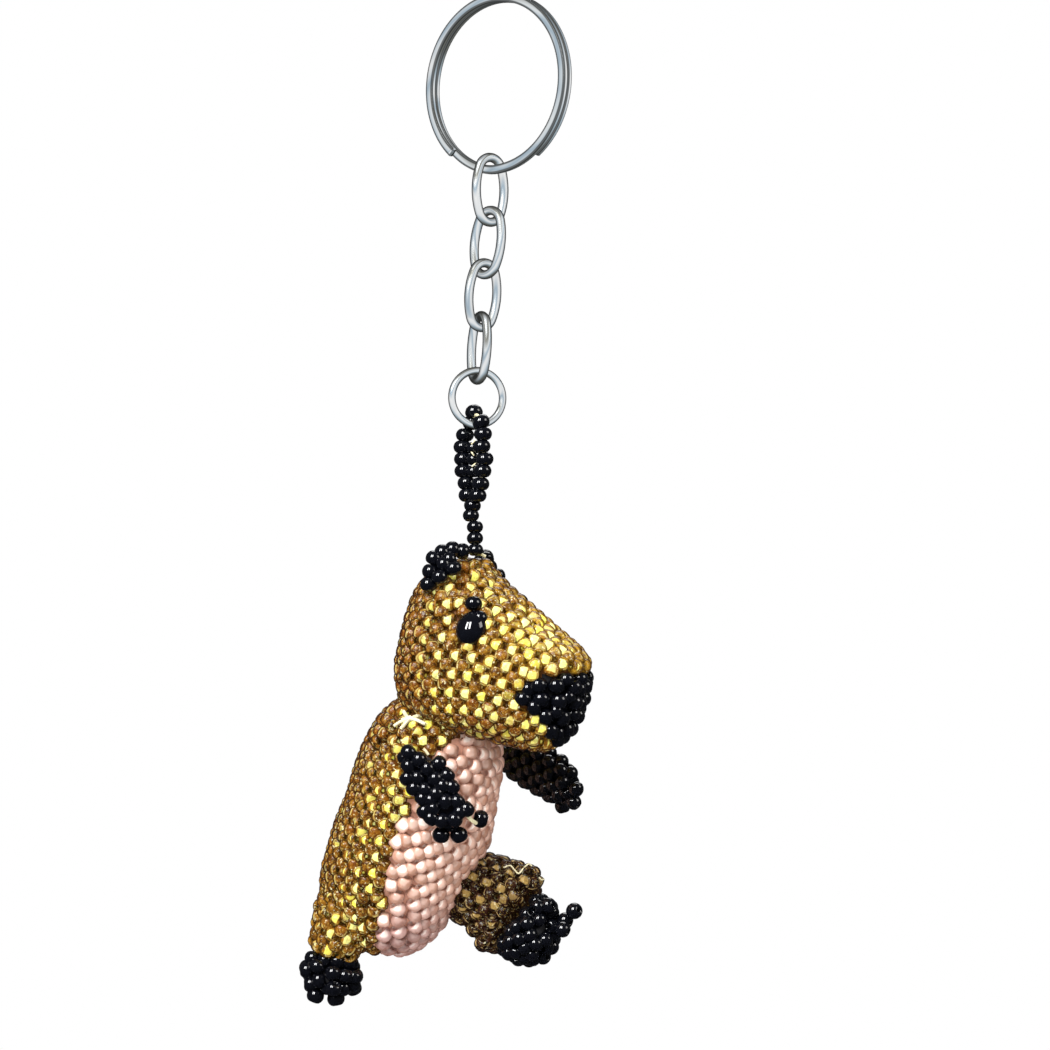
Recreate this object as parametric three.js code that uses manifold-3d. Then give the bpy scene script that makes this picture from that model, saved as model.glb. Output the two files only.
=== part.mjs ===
// Beaded animal key charm: a split ring, four oval chain links and a jump ring carry a beaded
// hanging loop, and from the loop hangs a small bead-woven animal in gold, pink and black.
// Units are millimetres. +Z is up, the animal faces -Y, and its own right side is -X.
// The finished model's origin is the point inside the top of the split ring where a hook bears.
// Until put() moves a piece there, x = 0 is the animal's middle plane and z = 0 is the top of
// the circle inside the split ring.
import * as THREE from 'three';
import { mergeVertices } from 'three/addons/utils/BufferGeometryUtils.js';
import Module from 'manifold-3d';

const wasm = await Module();
wasm.setup();

// ---- driving dimensions ----
const RING_OD = 25.0;            // split ring outside diameter
const RING_RADIAL = 1.25;        // width of the ring wire across the coil
const RING_AXIAL = 0.80;         // thickness of one coil
const RING_CHAMFER = 0.2;        // cut corners of the ring wire
const RING_PITCH = 0.92;         // spacing of the two coils
const RING_HEADING = 81;         // heading of the ring's plane, degrees from +X
const RING_CENTRE = [0.566, -2.99];   // x, y
const RING_TRIM = 37;            // how far each wire end stops short of the change over, degrees
const RING_JOG = 17;             // half length of the step between coils, degrees
const RING_FACETS = 40;          // facets in one turn, before rounding to a whole number of steps
const TOP_FLAT = 15.5;           // steps from the wire's start to the middle of the top flat
const ORIGIN_Y = -3.197;

const LINK_HEIGHT = 10.3;        // outside height of a chain link
const LINK_WIDTH = 6.0;          // outside width of a chain link
const LINK_WIRE = 1.3;           // wire diameter
const LINK_END = 1.9;            // radius of a link's ends, on the wire's middle line
const LINK_HEADINGS = [156, 82, 156, 58];
const LINK_TILTS = [0.5, 6.0, 4.2, 3.4];   // degrees from upright
const JUMP_OD = 8.6;             // jump ring outside diameter
const JUMP_WIRE = 1.05;
const JUMP_HEADING = 142;
const WIRE_SEAM = 0.14;          // open seam of a bent link or jump ring
const RING_PLAY = 0.42;          // slack between the split ring and the first link
const LINK_PLAY = 0.36;          // slack between crossing links
const JUMP_PLAY = 0.16;          // slack between the last link and the jump ring

const STRAND_BEADS = 3;
const STRAND_TOP = -70.55;       // on the same datum as the hanging loop
const STRAND_X = -0.2;
const STRAND_Y = 0.35;
const BEAD_RADIUS = 1.07;        // beads of the strand and the crown
const BEAD_LENGTH = 1.5;
const TIP_LENGTH = 1.6;          // finger and toe beads

const WALL = 2.3;                // thickness of one bead layer
const FILL_INSET = 3.3;          // how far the stuffing sits inside the skin
const GAP = 0.35;                // clearance between neighbouring pieces
const NECK_TILT = 20.3;          // slope of the neck plane, degrees, falling to the front
const NECK_POINT = [0, 4.4, -99.95];
const NECK_BORE = 4.6;           // radius of the hole through the neck
const HIP_SWING = 9;             // degrees each way
const SWING_MARGIN = 1;          // extra degrees cleared beyond the swing
const LEG_ROOM = 0.6;            // space cleared around a leg

// ---- vector helpers ----
const vec = (x, y, z) => new THREE.Vector3(x, y, z);
const rad = THREE.MathUtils.degToRad;
const UP = vec(0, 0, 1);
const LEFT = vec(1, 0, 0);
const RIGHT = vec(-1, 0, 0);
const heading = (degrees) => vec(Math.cos(rad(degrees)), Math.sin(rad(degrees)), 0);

// The point at distances a and b from a start, along two directions.
const offset = (start, dirA, a, dirB, b) =>
  start.clone().addScaledVector(dirA, a).addScaledVector(dirB, b);

// The unit part of a direction that is square to a unit axis.
const squareTo = (axis, direction) =>
  direction.clone().addScaledVector(axis, -direction.dot(axis)).normalize();

function ellipse(centre, dirA, dirB, radiusA, radiusB, around) {
  return Array.from({ length: around }, (_, i) => {
    const angle = (2 * Math.PI * i) / around;
    return offset(centre, dirA, radiusA * Math.cos(angle), dirB, radiusB * Math.sin(angle));
  });
}

// ---- mesh helpers ----
// Joins coincident vertices, drops collapsed triangles and turns the faces outward.
function weld(geometry) {
  geometry.deleteAttribute('normal');
  geometry.deleteAttribute('uv');
  const merged = mergeVertices(geometry, 1e-4);
  const position = merged.attributes.position;
  const index = merged.index.array;
  const kept = [];
  let volume = 0;
  for (let i = 0; i < index.length; i += 3) {
    const [first, second, third] = index.slice(i, i + 3);
    if (first === second || second === third || first === third) continue;
    kept.push(first, second, third);
    const [p, q, r] = [first, second, third].map((k) => vec().fromBufferAttribute(position, k));
    volume += p.dot(q.cross(r));
  }
  if (volume < 0) {
    for (let i = 0; i < kept.length; i += 3) {
      [kept[i + 1], kept[i + 2]] = [kept[i + 2], kept[i + 1]];
    }
  }
  merged.setIndex(kept);
  return merged;
}

// A closed skin through rows of points: the first and last rows are single poles.
function skin(rows) {
  const around = rows[1].length;
  const geometry = new THREE.SphereGeometry(1, around, rows.length - 1);
  rows.forEach((row, j) => {
    for (let i = 0; i <= around; i++) {
      const { x, y, z } = row[i % row.length];
      geometry.attributes.position.setXYZ(j * (around + 1) + i, x, y, z);
    }
  });
  return weld(geometry);
}

// A capped bar: a fixed section carried through frames of { centre, out, across }.
function sweep(frames, section) {
  const sides = section.length;
  const geometry = new THREE.CylinderGeometry(1, 1, 1, sides, frames.length - 1, false);
  let vertex = 0;
  const place = ({ x, y, z }) => geometry.attributes.position.setXYZ(vertex++, x, y, z);
  const placeRing = ({ centre, out, across }) => {
    for (let i = 0; i <= sides; i++) {
      const [a, b] = section[i % sides];
      place(offset(centre, out, a, across, b));
    }
  };
  frames.forEach(placeRing);
  for (const end of [frames[0], frames[frames.length - 1]]) {
    for (let i = 0; i < sides; i++) place(end.centre);
    placeRing(end);
  }
  return weld(geometry);
}

const solid = (geometry) => new wasm.Manifold(new wasm.Mesh({
  numProp: 3,
  vertProperties: new Float32Array(geometry.attributes.position.array),
  triVerts: new Uint32Array(geometry.index.array),
}));

function shape(manifold) {
  const mesh = manifold.getMesh();
  const geometry = new THREE.BufferGeometry();
  const positions = new Float32Array(mesh.vertProperties);
  geometry.setAttribute('position', new THREE.BufferAttribute(positions, 3));
  geometry.setIndex(Array.from(mesh.triVerts));
  return geometry;
}

// The largest piece that a cut leaves.
const largest = (manifold) => manifold.decompose().sort((a, b) => b.volume() - a.volume())[0];

// ---- head and torso skins ----
// Stations: [forward, height, downward pitch of the section to the front in degrees,
// reach to the front, reach to the back, half width]. The first and last are poles.
// narrowing: how much the sections narrow to the front.
// blunt: exponent that squares off the front of the sections; 1 leaves them elliptical.
const HEAD = {
  narrowing: 0.28,
  blunt: 0.8,
  stations: [
    [-0.32, -77.08, 0.0, 0.00, 0.00, 0.00],
    [-0.49, -77.74, 2.4, 1.90, 1.68, 3.00],
    [-1.14, -79.20, 5.4, 3.59, 4.43, 5.60],
    [-1.79, -81.48, 3.1, 6.44, 6.63, 7.40],
    [-2.11, -84.15, 2.0, 10.24, 7.45, 8.80],
    [-2.11, -86.91, 1.6, 14.50, 8.18, 9.90],
    [-2.11, -89.49, 1.1, 17.95, 8.68, 10.60],
    [-2.11, -91.61, 0.5, 19.30, 9.11, 11.00],
    [-1.79, -93.52, 1.0, 18.89, 9.45, 11.10],
    [-1.46, -95.62, 3.9, 17.94, 9.55, 10.90],
    [-1.14, -97.31, 6.3, 16.94, 9.45, 10.20],
    [-0.16, -98.70, 8.5, 15.01, 8.96, 9.00],
    [1.46, -100.04, 10.9, 11.70, 7.79, 7.00],
    [3.71, -101.32, 14.4, 6.28, 6.10, 4.20],
    [4.51, -101.72, 0.0, 0.00, 0.00, 0.00],
  ],
};
const TORSO = {
  narrowing: 0,
  blunt: 1,
  stations: [
    [-4.56, -95.48, 0.0, 0.00, 0.00, 0.00],
    [-4.23, -96.68, 15.0, 3.57, 3.78, 4.60],
    [-5.05, -98.78, 17.2, 6.64, 6.64, 8.20],
    [-5.88, -101.14, 16.5, 8.34, 8.54, 10.00],
    [-7.11, -104.67, 14.7, 9.72, 9.72, 10.70],
    [-8.27, -108.15, 13.1, 10.16, 10.16, 11.00],
    [-9.26, -111.85, 12.1, 10.42, 10.42, 11.30],
    [-10.67, -115.72, 11.8, 10.88, 10.88, 11.40],
    [-12.42, -119.41, 10.5, 10.45, 10.45, 11.20],
    [-13.68, -122.45, 8.8, 10.31, 10.31, 10.70],
    [-14.60, -125.20, 7.2, 9.73, 9.73, 9.80],
    [-15.10, -127.85, 6.9, 8.62, 8.62, 8.60],
    [-15.52, -130.29, 5.7, 6.83, 6.83, 6.80],
    [-15.86, -132.08, 3.3, 4.52, 4.34, 4.00],
    [-15.86, -132.93, 0.0, 0.00, 0.00, 0.00],
  ],
};
const POLE_INSET = 1.15;         // a pole moves in by this many times the inset
const POLE_ROOM = 0.2;           // least height between an inset pole and the next section
const LEAST_HALF = 0.6;          // smallest reach or half width of an inset section

const forwardAt = (pitch) => vec(0, -Math.cos(rad(pitch)), -Math.sin(rad(pitch)));
const signedPower = (value, power) => Math.sign(value) * Math.abs(value) ** power;

// A head or torso solid, set in from its outer skin; sections too small to inset are left out.
function bodySolid({ narrowing, blunt, stations }, around, inset = 0) {
  const last = stations.length - 1;
  const poleInset = inset * POLE_INSET;
  const highest = stations[0][1] - poleInset - POLE_ROOM;
  const lowest = stations[last][1] + poleInset + POLE_ROOM;
  const rows = [];
  stations.forEach(([forward, height, pitch, front, back, half], k) => {
    if (k === 0 || k === last) {
      rows.push([vec(0, -forward, height + (k === 0 ? -poleInset : poleInset))]);
      return;
    }
    const tooSmall = Math.min(half, front, back) < inset + LEAST_HALF;
    if (inset > 0 && (tooSmall || height > highest || height < lowest)) return;
    const centre = vec(0, -forward, height);
    const ring = [];
    for (let i = 0; i < around; i++) {
      const angle = (2 * Math.PI * i) / around;
      const power = Math.cos(angle) > 0 ? blunt : 1;
      const along = signedPower(Math.cos(angle), power);
      const across = signedPower(Math.sin(angle), power);
      const reach = (along > 0 ? front : back) - inset;
      const side = (half - inset) * (1 - narrowing * Math.max(0, along));
      ring.push(offset(centre, forwardAt(pitch), reach * along, LEFT, side * across));
    }
    rows.push(ring);
  });
  return solid(skin(rows));
}

// ---- neck cutters ----
function placeOnNeck(geometry) {
  geometry.rotateX(rad(NECK_TILT));
  geometry.translate(...NECK_POINT);
  return solid(weld(geometry));
}

// Everything above (direction 1) or below (-1) a plane parallel to the neck plane.
function neckBlock(direction, height) {
  const geometry = new THREE.BoxGeometry(80, 80, 40);
  geometry.translate(0, 0, direction * 20 + height);
  return placeOnNeck(geometry);
}
const aboveNeck = (height) => neckBlock(1, height);
const belowNeck = (height) => neckBlock(-1, height);

function neckBore(from, to) {
  const geometry = new THREE.CylinderGeometry(NECK_BORE, NECK_BORE, to - from, 16);
  geometry.rotateX(Math.PI / 2);
  geometry.translate(0, 0, (from + to) / 2);
  return placeOnNeck(geometry);
}

// ---- head ----
// Side outline of the muzzle: [forward, height].
const MUZZLE = [
  [9.9, -96.4], [12.4, -93.9], [16.5, -93.7], [24.17, -94.3],
  [24.17, -106], [15.6, -106], [13.6, -101.6], [11.4, -98.6],
];
const PRISM_HALF = 20;           // half width of the muzzle cutter

// Moves each point of an outline away from the mean of its points.
function grow(outline, distance) {
  const mean = [0, 1].map((axis) =>
    outline.reduce((sum, point) => sum + point[axis] / outline.length, 0));
  return outline.map(([forward, height]) => {
    const run = forward - mean[0];
    const rise = height - mean[1];
    const scale = distance / Math.hypot(run, rise);
    return [forward + run * scale, height + rise * scale];
  });
}

// A side outline carried straight across the animal.
function prism(outline) {
  const side = new THREE.Shape(outline.map((point) => new THREE.Vector2(...point)));
  const settings = { depth: 2 * PRISM_HALF, bevelEnabled: false };
  const geometry = new THREE.ExtrudeGeometry(side, settings);
  const position = geometry.attributes.position;
  for (let i = 0; i < position.count; i++) {
    const { x: forward, y: height, z: depth } = vec().fromBufferAttribute(position, i);
    position.setXYZ(i, depth - PRISM_HALF, -forward, height);
  }
  return solid(weld(geometry));
}

const headWall = bodySolid(HEAD, 24).subtract(bodySolid(HEAD, 20, WALL));
const headShell = () => largest(headWall.subtract(prism(grow(MUZZLE, GAP)))
  .subtract(belowNeck(GAP / 2)).subtract(neckBore(-6, 9)));
const muzzle = () => largest(headWall.intersect(prism(MUZZLE)).subtract(belowNeck(GAP / 2)));
const headStuffing = () => largest(bodySolid(HEAD, 12, FILL_INSET).subtract(belowNeck(GAP)));

// ---- arms, legs and feet ----
// Stations: [x, y, z, half breadth, half thickness]; the thickness is measured along `outward`,
// squared to the limb's line. The first and last stations are poles.
const LIMBS = {
  right_arm: { look: 'black', around: 10, outward: vec(-0.866, -0.5, 0), stations: [
    [-12.65, 3.50, -102.17, 0.00, 0.00], [-12.54, 2.93, -102.97, 1.63, 1.40],
    [-12.17, 1.88, -104.72, 3.05, 2.20], [-11.66, 0.60, -106.87, 3.39, 2.30],
    [-10.83, -0.64, -109.19, 3.39, 2.30], [-9.96, -1.54, -111.11, 2.99, 2.20],
    [-9.22, -2.13, -112.65, 1.80, 1.50], [-8.92, -2.42, -113.20, 0.00, 0.00],
  ] },
  left_arm: { look: 'black', around: 10, outward: vec(0.866, -0.5, 0), stations: [
    [12.40, 3.59, -104.09, 0.00, 0.00], [12.60, 2.88, -104.65, 1.72, 1.40],
    [12.60, 1.06, -105.50, 3.00, 2.20], [12.40, -1.37, -106.45, 3.45, 2.30],
    [12.00, -4.05, -107.40, 3.60, 2.30], [11.60, -6.43, -108.60, 3.30, 2.20],
    [11.30, -8.09, -109.75, 2.20, 1.60], [11.20, -8.90, -110.30, 0.00, 0.00],
  ] },
  right_leg: { look: 'gold', around: 12, outward: RIGHT, stations: [
    [-4.80, 15.60, -121.22, 0.00, 0.00], [-4.90, 16.03, -122.36, 2.81, 2.80],
    [-5.10, 16.91, -124.22, 4.49, 4.00], [-5.40, 18.22, -127.08, 4.78, 4.20],
    [-5.60, 19.27, -129.94, 4.08, 3.90], [-5.70, 19.96, -132.09, 3.52, 3.50],
    [-5.70, 20.13, -132.73, 2.11, 2.20], [-5.70, 20.21, -132.88, 0.00, 0.00],
  ] },
  left_leg: { look: 'gold', around: 12, outward: LEFT, stations: [
    [5.00, 8.12, -123.63, 0.00, 0.00], [5.00, 7.13, -123.71, 3.40, 3.00],
    [5.10, 5.40, -123.85, 4.90, 4.20], [5.20, 3.40, -124.05, 5.40, 4.50],
    [5.40, 1.20, -124.50, 5.90, 4.70], [5.50, -0.80, -125.65, 6.90, 4.80],
    [5.60, -2.40, -126.70, 7.10, 4.70], [5.60, -3.10, -127.14, 4.40, 3.40],
    [5.60, -3.32, -127.28, 0.00, 0.00],
  ] },
  right_foot: { look: 'black', around: 12, outward: RIGHT, stations: [
    [-5.70, 20.04, -133.22, 0.00, 0.00], [-5.70, 20.11, -133.43, 2.67, 2.80],
    [-5.70, 20.21, -134.36, 3.80, 3.70], [-5.80, 20.48, -135.63, 4.29, 4.10],
    [-5.80, 20.65, -136.77, 3.80, 3.70], [-5.80, 20.74, -137.48, 2.25, 2.40],
    [-5.80, 20.82, -137.77, 0.00, 0.00],
  ] },
  left_foot: { look: 'black', around: 12, outward: LEFT, stations: [
    [5.60, -3.78, -127.74, 0.00, 0.00], [5.60, -4.00, -127.94, 4.15, 3.40],
    [5.65, -4.75, -128.62, 5.45, 4.40], [5.70, -5.70, -129.35, 5.00, 4.40],
    [5.70, -7.00, -129.85, 4.00, 3.70], [5.70, -8.20, -130.15, 2.80, 2.70],
    [5.70, -9.10, -130.35, 0.00, 0.00],
  ] },
};

function limbSkin({ stations, outward, around }) {
  const centres = stations.map(([x, y, z]) => vec(x, y, z));
  return skin(stations.map(([, , , breadth, thickness], k) => {
    if (breadth === 0) return [centres[k]];
    const along = centres[k + 1].clone().sub(centres[k - 1]).normalize();
    const thick = squareTo(along, outward);
    const broad = along.clone().cross(thick).normalize();
    return ellipse(centres[k], broad, thick, breadth, thickness, around);
  }));
}

// The space a leg sweeps as it swings about its hip, a little larger than the leg.
function legClearance({ stations, outward }, hip) {
  const grown = stations.map(([x, y, z, breadth, thickness]) => (
    breadth === 0 ? [x, y, z, 0, 0] : [x, y, z, breadth + LEG_ROOM, thickness + LEG_ROOM]));
  const [top, next] = stations.map(([x, y, z]) => vec(x, y, z));
  const raised = top.clone().add(top.clone().sub(next).setLength(LEG_ROOM));
  grown[0] = [...raised.toArray(), 0, 0];
  return [-1, -0.5, 0, 0.5, 1].map((part) => {
    const geometry = limbSkin({ stations: grown, outward, around: 10 });
    geometry.translate(-hip.x, -hip.y, -hip.z);
    geometry.rotateX(rad(part * (HIP_SWING + SWING_MARGIN)));
    geometry.translate(hip.x, hip.y, hip.z);
    return solid(geometry);
  }).reduce((sum, pose) => sum.add(pose));
}
const rightLegSpace = legClearance(LIMBS.right_leg, vec(-5.0, 16.6, -123.6));
const leftLegSpace = legClearance(LIMBS.left_leg, vec(5.1, 6.4, -123.8));
const clearLegs = (body) => body.subtract(rightLegSpace).subtract(leftLegSpace);

// ---- torso ----
// Belly opening: half angles in degrees at successive torso stations, from OPENING_FIRST on.
const OPENING_FIRST = 2;
const OPENING = [34, 40, 52, 60, 66, 70, 71, 69, 64, 58, 56, 56];
const OPENING_STEPS = 8;
const WEDGE_REACH = 1.6;         // the wedge's reach, in multiples of the torso section
const WEDGE_EDGE = 0.5;          // the wedge's inner edge, forward of the torso's middle line
const EDGE_WIDEN = 1.2;          // how far the inner edge moves back per unit of widening

// The front of the torso as a wedge, widened by a distance on every side.
function bellyWedge(widen) {
  const last = OPENING.length - 1;
  const rows = OPENING.map((degrees, j) => {
    const [forward, height, pitch, front, , side] = TORSO.stations[OPENING_FIRST + j];
    const ahead = forwardAt(pitch);
    const above = vec(0, -Math.sin(rad(pitch)), Math.cos(rad(pitch)));
    const centre = vec(0, -forward, height);
    if (j === 0) centre.addScaledVector(above, widen);
    if (j === last) centre.addScaledVector(above, -widen);
    const half = rad(degrees) + widen / Math.max(front, side);
    const ring = [centre.clone().addScaledVector(ahead, WEDGE_EDGE - widen * EDGE_WIDEN)];
    for (let i = 0; i <= OPENING_STEPS; i++) {
      const angle = half * ((2 * i) / OPENING_STEPS - 1);
      ring.push(offset(centre, ahead, front * WEDGE_REACH * Math.cos(angle),
        LEFT, side * WEDGE_REACH * Math.sin(angle)));
    }
    return ring;
  });
  // Each end closes on a point midway between the inner edge and the middle of the arc.
  const pole = (ring) => [ring[0].clone().add(ring[1 + OPENING_STEPS / 2]).multiplyScalar(0.5)];
  return solid(skin([pole(rows[0]), ...rows, pole(rows[last])]));
}

const torsoWall = clearLegs(bodySolid(TORSO, 24).subtract(bodySolid(TORSO, 20, WALL))
  .subtract(aboveNeck(-GAP / 2)).subtract(neckBore(-9, 6)));
const torsoShell = () => largest(torsoWall.subtract(bellyWedge(GAP / 2)));
const bellyPanel = () => largest(torsoWall.intersect(bellyWedge(-GAP / 2)));
const torsoStuffing = () => largest(clearLegs(
  bodySolid(TORSO, 12, FILL_INSET).subtract(aboveNeck(-GAP))));

// ---- beads and face pieces ----
const lathe = (profile) =>
  new THREE.LatheGeometry(profile.map((point) => new THREE.Vector2(...point)), 8);
const BEAD_MOUTH = 0.62;         // radius at a bead's ends, as a share of its full radius

// A seed bead: a barrel about its own axis.
function bead(centre, radius, length, axis) {
  const half = length / 2;
  const mouth = BEAD_MOUTH * radius;
  const shoulder = 0.92 * radius;
  const geometry = lathe([
    [0, -half], [mouth, -half], [shoulder, -0.55 * half], [radius, 0],
    [shoulder, 0.55 * half], [mouth, half], [0, half],
  ]);
  const turn = new THREE.Quaternion().setFromUnitVectors(vec(0, 1, 0), axis.normalize());
  geometry.applyQuaternion(turn);
  geometry.translate(...centre);
  return weld(geometry);
}

// An ellipsoid with its first two axes along dirA and dirB, and the third square to both.
function ellipsoid({ centre, dirA, dirB, radii, around, rows }) {
  const geometry = new THREE.SphereGeometry(1, around, rows);
  const axisA = dirA.normalize();
  const axisB = squareTo(axisA, dirB);
  const axisC = axisA.clone().cross(axisB);
  geometry.scale(...radii);
  geometry.applyMatrix4(new THREE.Matrix4().makeBasis(axisA, axisB, axisC));
  geometry.translate(...centre);
  return weld(geometry);
}

// The head grown by the clearance, cut away from pieces that sit on it.
const headCutter = bodySolid({
  ...HEAD,
  stations: HEAD.stations.map(([forward, height, pitch, ...reaches], k) => [
    forward, k === 0 ? height + GAP : height, pitch,
    ...reaches.map((reach) => (reach > 0 ? reach + GAP : 0)),
  ]),
}, 20);
const onHead = (geometry) => shape(largest(solid(geometry).subtract(headCutter)));

// Along the cheek towards the back, on one side; side is -1 for right and 1 for left.
const cheek = (side, rise) => vec(side * 0.465, 0.885, rise);
const FACE = {
  ear: (side) => ellipsoid({
    centre: [side * 5.9, 2.0, -78.45],
    dirA: vec(side * 0.62, 0.55, -0.55),
    dirB: vec(0, 0.5, 0.5),
    radii: [3.4, 3.3, 1.15],
    around: 12,
    rows: 8,
  }),
  eye: (side) => ellipsoid({
    centre: [side * 9.0, -4.4, -87.6],
    dirA: vec(0, 0, 1),
    dirB: cheek(side, 0),
    radii: [2.35, 1.9, 1.35],
    around: 10,
    rows: 6,
  }),
  brow_bead: (side) => bead([side * 7.3, -4.0, -84.1], 1.08, 1.65, cheek(side, 0.1)),
};

// ---- split ring ----
const ringAlong = heading(RING_HEADING);
const ringNormal = ringAlong.clone().cross(UP);
const ringMean = (RING_OD - RING_RADIAL) / 2;
const ringInner = RING_OD / 2 - RING_RADIAL;
const ringCentre = vec(...RING_CENTRE, -ringInner);
const ringSweep = 720 - 2 * RING_TRIM;
const ringSteps = Math.round((ringSweep / 360) * RING_FACETS);
const ringStep = ringSweep / ringSteps;
// The change over's angle, set so that a flat lies across the top.
const ringStart = 90 - RING_TRIM - TOP_FLAT * ringStep;
const ORIGIN = vec(0, ORIGIN_Y, ringInner * (Math.cos(rad(ringStep / 2)) - 1));

// Two turns of flattened wire, with a jog where it steps from one coil to the other.
function splitRing() {
  const frames = [];
  for (let i = 0; i <= ringSteps; i++) {
    const turned = RING_TRIM + ringStep * i;
    const coil = THREE.MathUtils.smootherstep(turned, 360 - RING_JOG, 360 + RING_JOG);
    const angle = rad(ringStart + turned);
    const out = offset(vec(0, 0, 0), ringAlong, Math.cos(angle), UP, Math.sin(angle));
    const centre = offset(ringCentre, out, ringMean, ringNormal, (coil - 0.5) * RING_PITCH);
    frames.push({ centre, out, across: ringNormal });
  }
  const outer = RING_RADIAL / 2;
  const side = RING_AXIAL / 2;
  const outerCut = outer - RING_CHAMFER;
  const sideCut = side - RING_CHAMFER;
  return sweep(frames, [
    [outer, -sideCut], [outer, sideCut], [outerCut, side], [-outerCut, side],
    [-outer, sideCut], [-outer, -sideCut], [-outerCut, -side], [outerCut, -side],
  ]);
}

// ---- chain links and jump ring ----
// An oval of four arcs, or a circle. Distances along it run from the middle of one side;
// at() gives [x, z, outward x, outward z].
function oval(halfWidth, halfHeight, endRadius) {
  const endCentre = halfHeight - endRadius;
  const spare = halfWidth - endRadius;
  const isOval = spare > 0.01;
  const sideRadius = isOval
    ? (halfWidth ** 2 + endCentre ** 2 - endRadius ** 2) / (2 * spare)
    : halfWidth;
  const sideAngle = isOval ? Math.atan2(endCentre, sideRadius - halfWidth) : Math.PI / 4;
  const sideLength = sideRadius * sideAngle;
  const quarter = sideLength + endRadius * (Math.PI / 2 - sideAngle);
  const arcPoint = (x, z, radius, angle) => {
    const [outX, outZ] = [Math.cos(angle), Math.sin(angle)];
    return [x + radius * outX, z + radius * outZ, outX, outZ];
  };
  const firstQuarter = (distance) => (distance <= sideLength
    ? arcPoint(halfWidth - sideRadius, 0, sideRadius, distance / sideRadius)
    : arcPoint(0, endCentre, endRadius, sideAngle + (distance - sideLength) / endRadius));
  const at = (distance) => {
    const part = Math.min(3, Math.floor(distance / quarter));
    const rest = distance - part * quarter;
    const [x, z, outX, outZ] = firstQuarter(part % 2 ? quarter - rest : rest);
    const flipX = part === 1 || part === 2 ? -1 : 1;
    const flipZ = part >= 2 ? -1 : 1;
    return [x * flipX, z * flipZ, outX * flipX, outZ * flipZ];
  };
  return { length: 4 * quarter, at };
}

// A round wire bent to an oval in the plane of `side` and `up`, with a seam in one side.
function wireLoop({ centre, side, up, halfWidth, halfHeight, endRadius, wire, steps }) {
  const across = side.clone().cross(up).normalize();
  const path = oval(halfWidth, halfHeight, endRadius);
  const frames = [];
  for (let i = 0; i <= steps; i++) {
    const distance = WIRE_SEAM / 2 + ((path.length - WIRE_SEAM) * i) / steps;
    const [x, z, outX, outZ] = path.at(distance);
    const out = offset(vec(0, 0, 0), side, outX, up, outZ);
    frames.push({ centre: offset(centre, side, x, up, z), out, across });
  }
  const section = Array.from({ length: 8 }, (_, i) => {
    const angle = (2 * Math.PI * (i + 0.5)) / 8;
    return [(wire / 2) * Math.cos(angle), (wire / 2) * Math.sin(angle)];
  });
  return sweep(frames, section);
}

const LEAN = vec(0.5, -0.866, 0);     // the links' tops lean to the front left
const HANG_ALONG = 1.3;          // where the chain crosses the ring, from its lowest point
const HANG_RISE = 0.07;
const linkHalfHeight = (LINK_HEIGHT - LINK_WIRE) / 2;
const links = [];
// The middle of the wire that the next piece hangs on.
let support = offset(ringCentre, ringAlong, HANG_ALONG, UP, HANG_RISE - ringMean);
LINK_HEADINGS.forEach((degrees, k) => {
  const up = UP.clone().addScaledVector(LEAN, Math.tan(rad(LINK_TILTS[k]))).normalize();
  const spacing = k === 0 ? RING_RADIAL / 2 + RING_PLAY : LINK_WIRE / 2 + LINK_PLAY;
  const rise = spacing + LINK_WIRE / 2 - linkHalfHeight;
  const centre = support.clone().addScaledVector(up, rise);
  links.push(wireLoop({
    centre,
    side: squareTo(up, heading(degrees)),
    up,
    halfWidth: (LINK_WIDTH - LINK_WIRE) / 2,
    halfHeight: linkHalfHeight,
    endRadius: LINK_END,
    wire: LINK_WIRE,
    steps: 26,
  }));
  support = centre.clone().addScaledVector(up, -linkHalfHeight);
});

const jumpMean = (JUMP_OD - JUMP_WIRE) / 2;
const jumpRise = (LINK_WIRE + JUMP_WIRE) / 2 + JUMP_PLAY - jumpMean;
const jumpCentre = support.clone().addScaledVector(UP, jumpRise);
const jumpBottom = jumpCentre.clone().addScaledVector(UP, -jumpMean);
const jumpRing = () => wireLoop({
  centre: jumpCentre,
  side: heading(JUMP_HEADING),
  up: UP,
  halfWidth: jumpMean,
  halfHeight: jumpMean,
  endRadius: jumpMean,
  wire: JUMP_WIRE,
  steps: 28,
});

// ---- hanging loop, strand and crown ----
// Middle line of the loop: [x, y, z], up one leg, over the top and down the other.
const LOOP = [
  [0.08, 1.67, -68.52], [0.24, 2.09, -64.75], [0.63, 2.41, -61.25],
  [0.93, 2.19, -58.31], [0.00, 0.00, -56.82], [-1.01, -2.06, -58.45],
  [-1.05, -1.68, -61.35], [-0.76, -1.18, -64.80], [-0.74, -0.52, -68.54],
];
const LOOP_RADIUS = 1.06;
// The root joins the loop's two legs: middle line, and the radius at each point.
const ROOT = [[-0.1, 0.6, -66.2], [-0.2, 0.58, -67.6], [-0.3, 0.56, -69.0], [-0.33, 0.55, -70.2]];
const ROOT_RADII = [0.7, 1.35, 1.15, 0.7];
const LOOP_DATUM = vec(0, 0.1, -58.78);    // this point is set on the jump ring's lowest point
const loopShift = jumpBottom.clone().sub(LOOP_DATUM);
const hung = (points) => points.map(([x, y, z]) => vec(x, y, z).add(loopShift));

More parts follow.
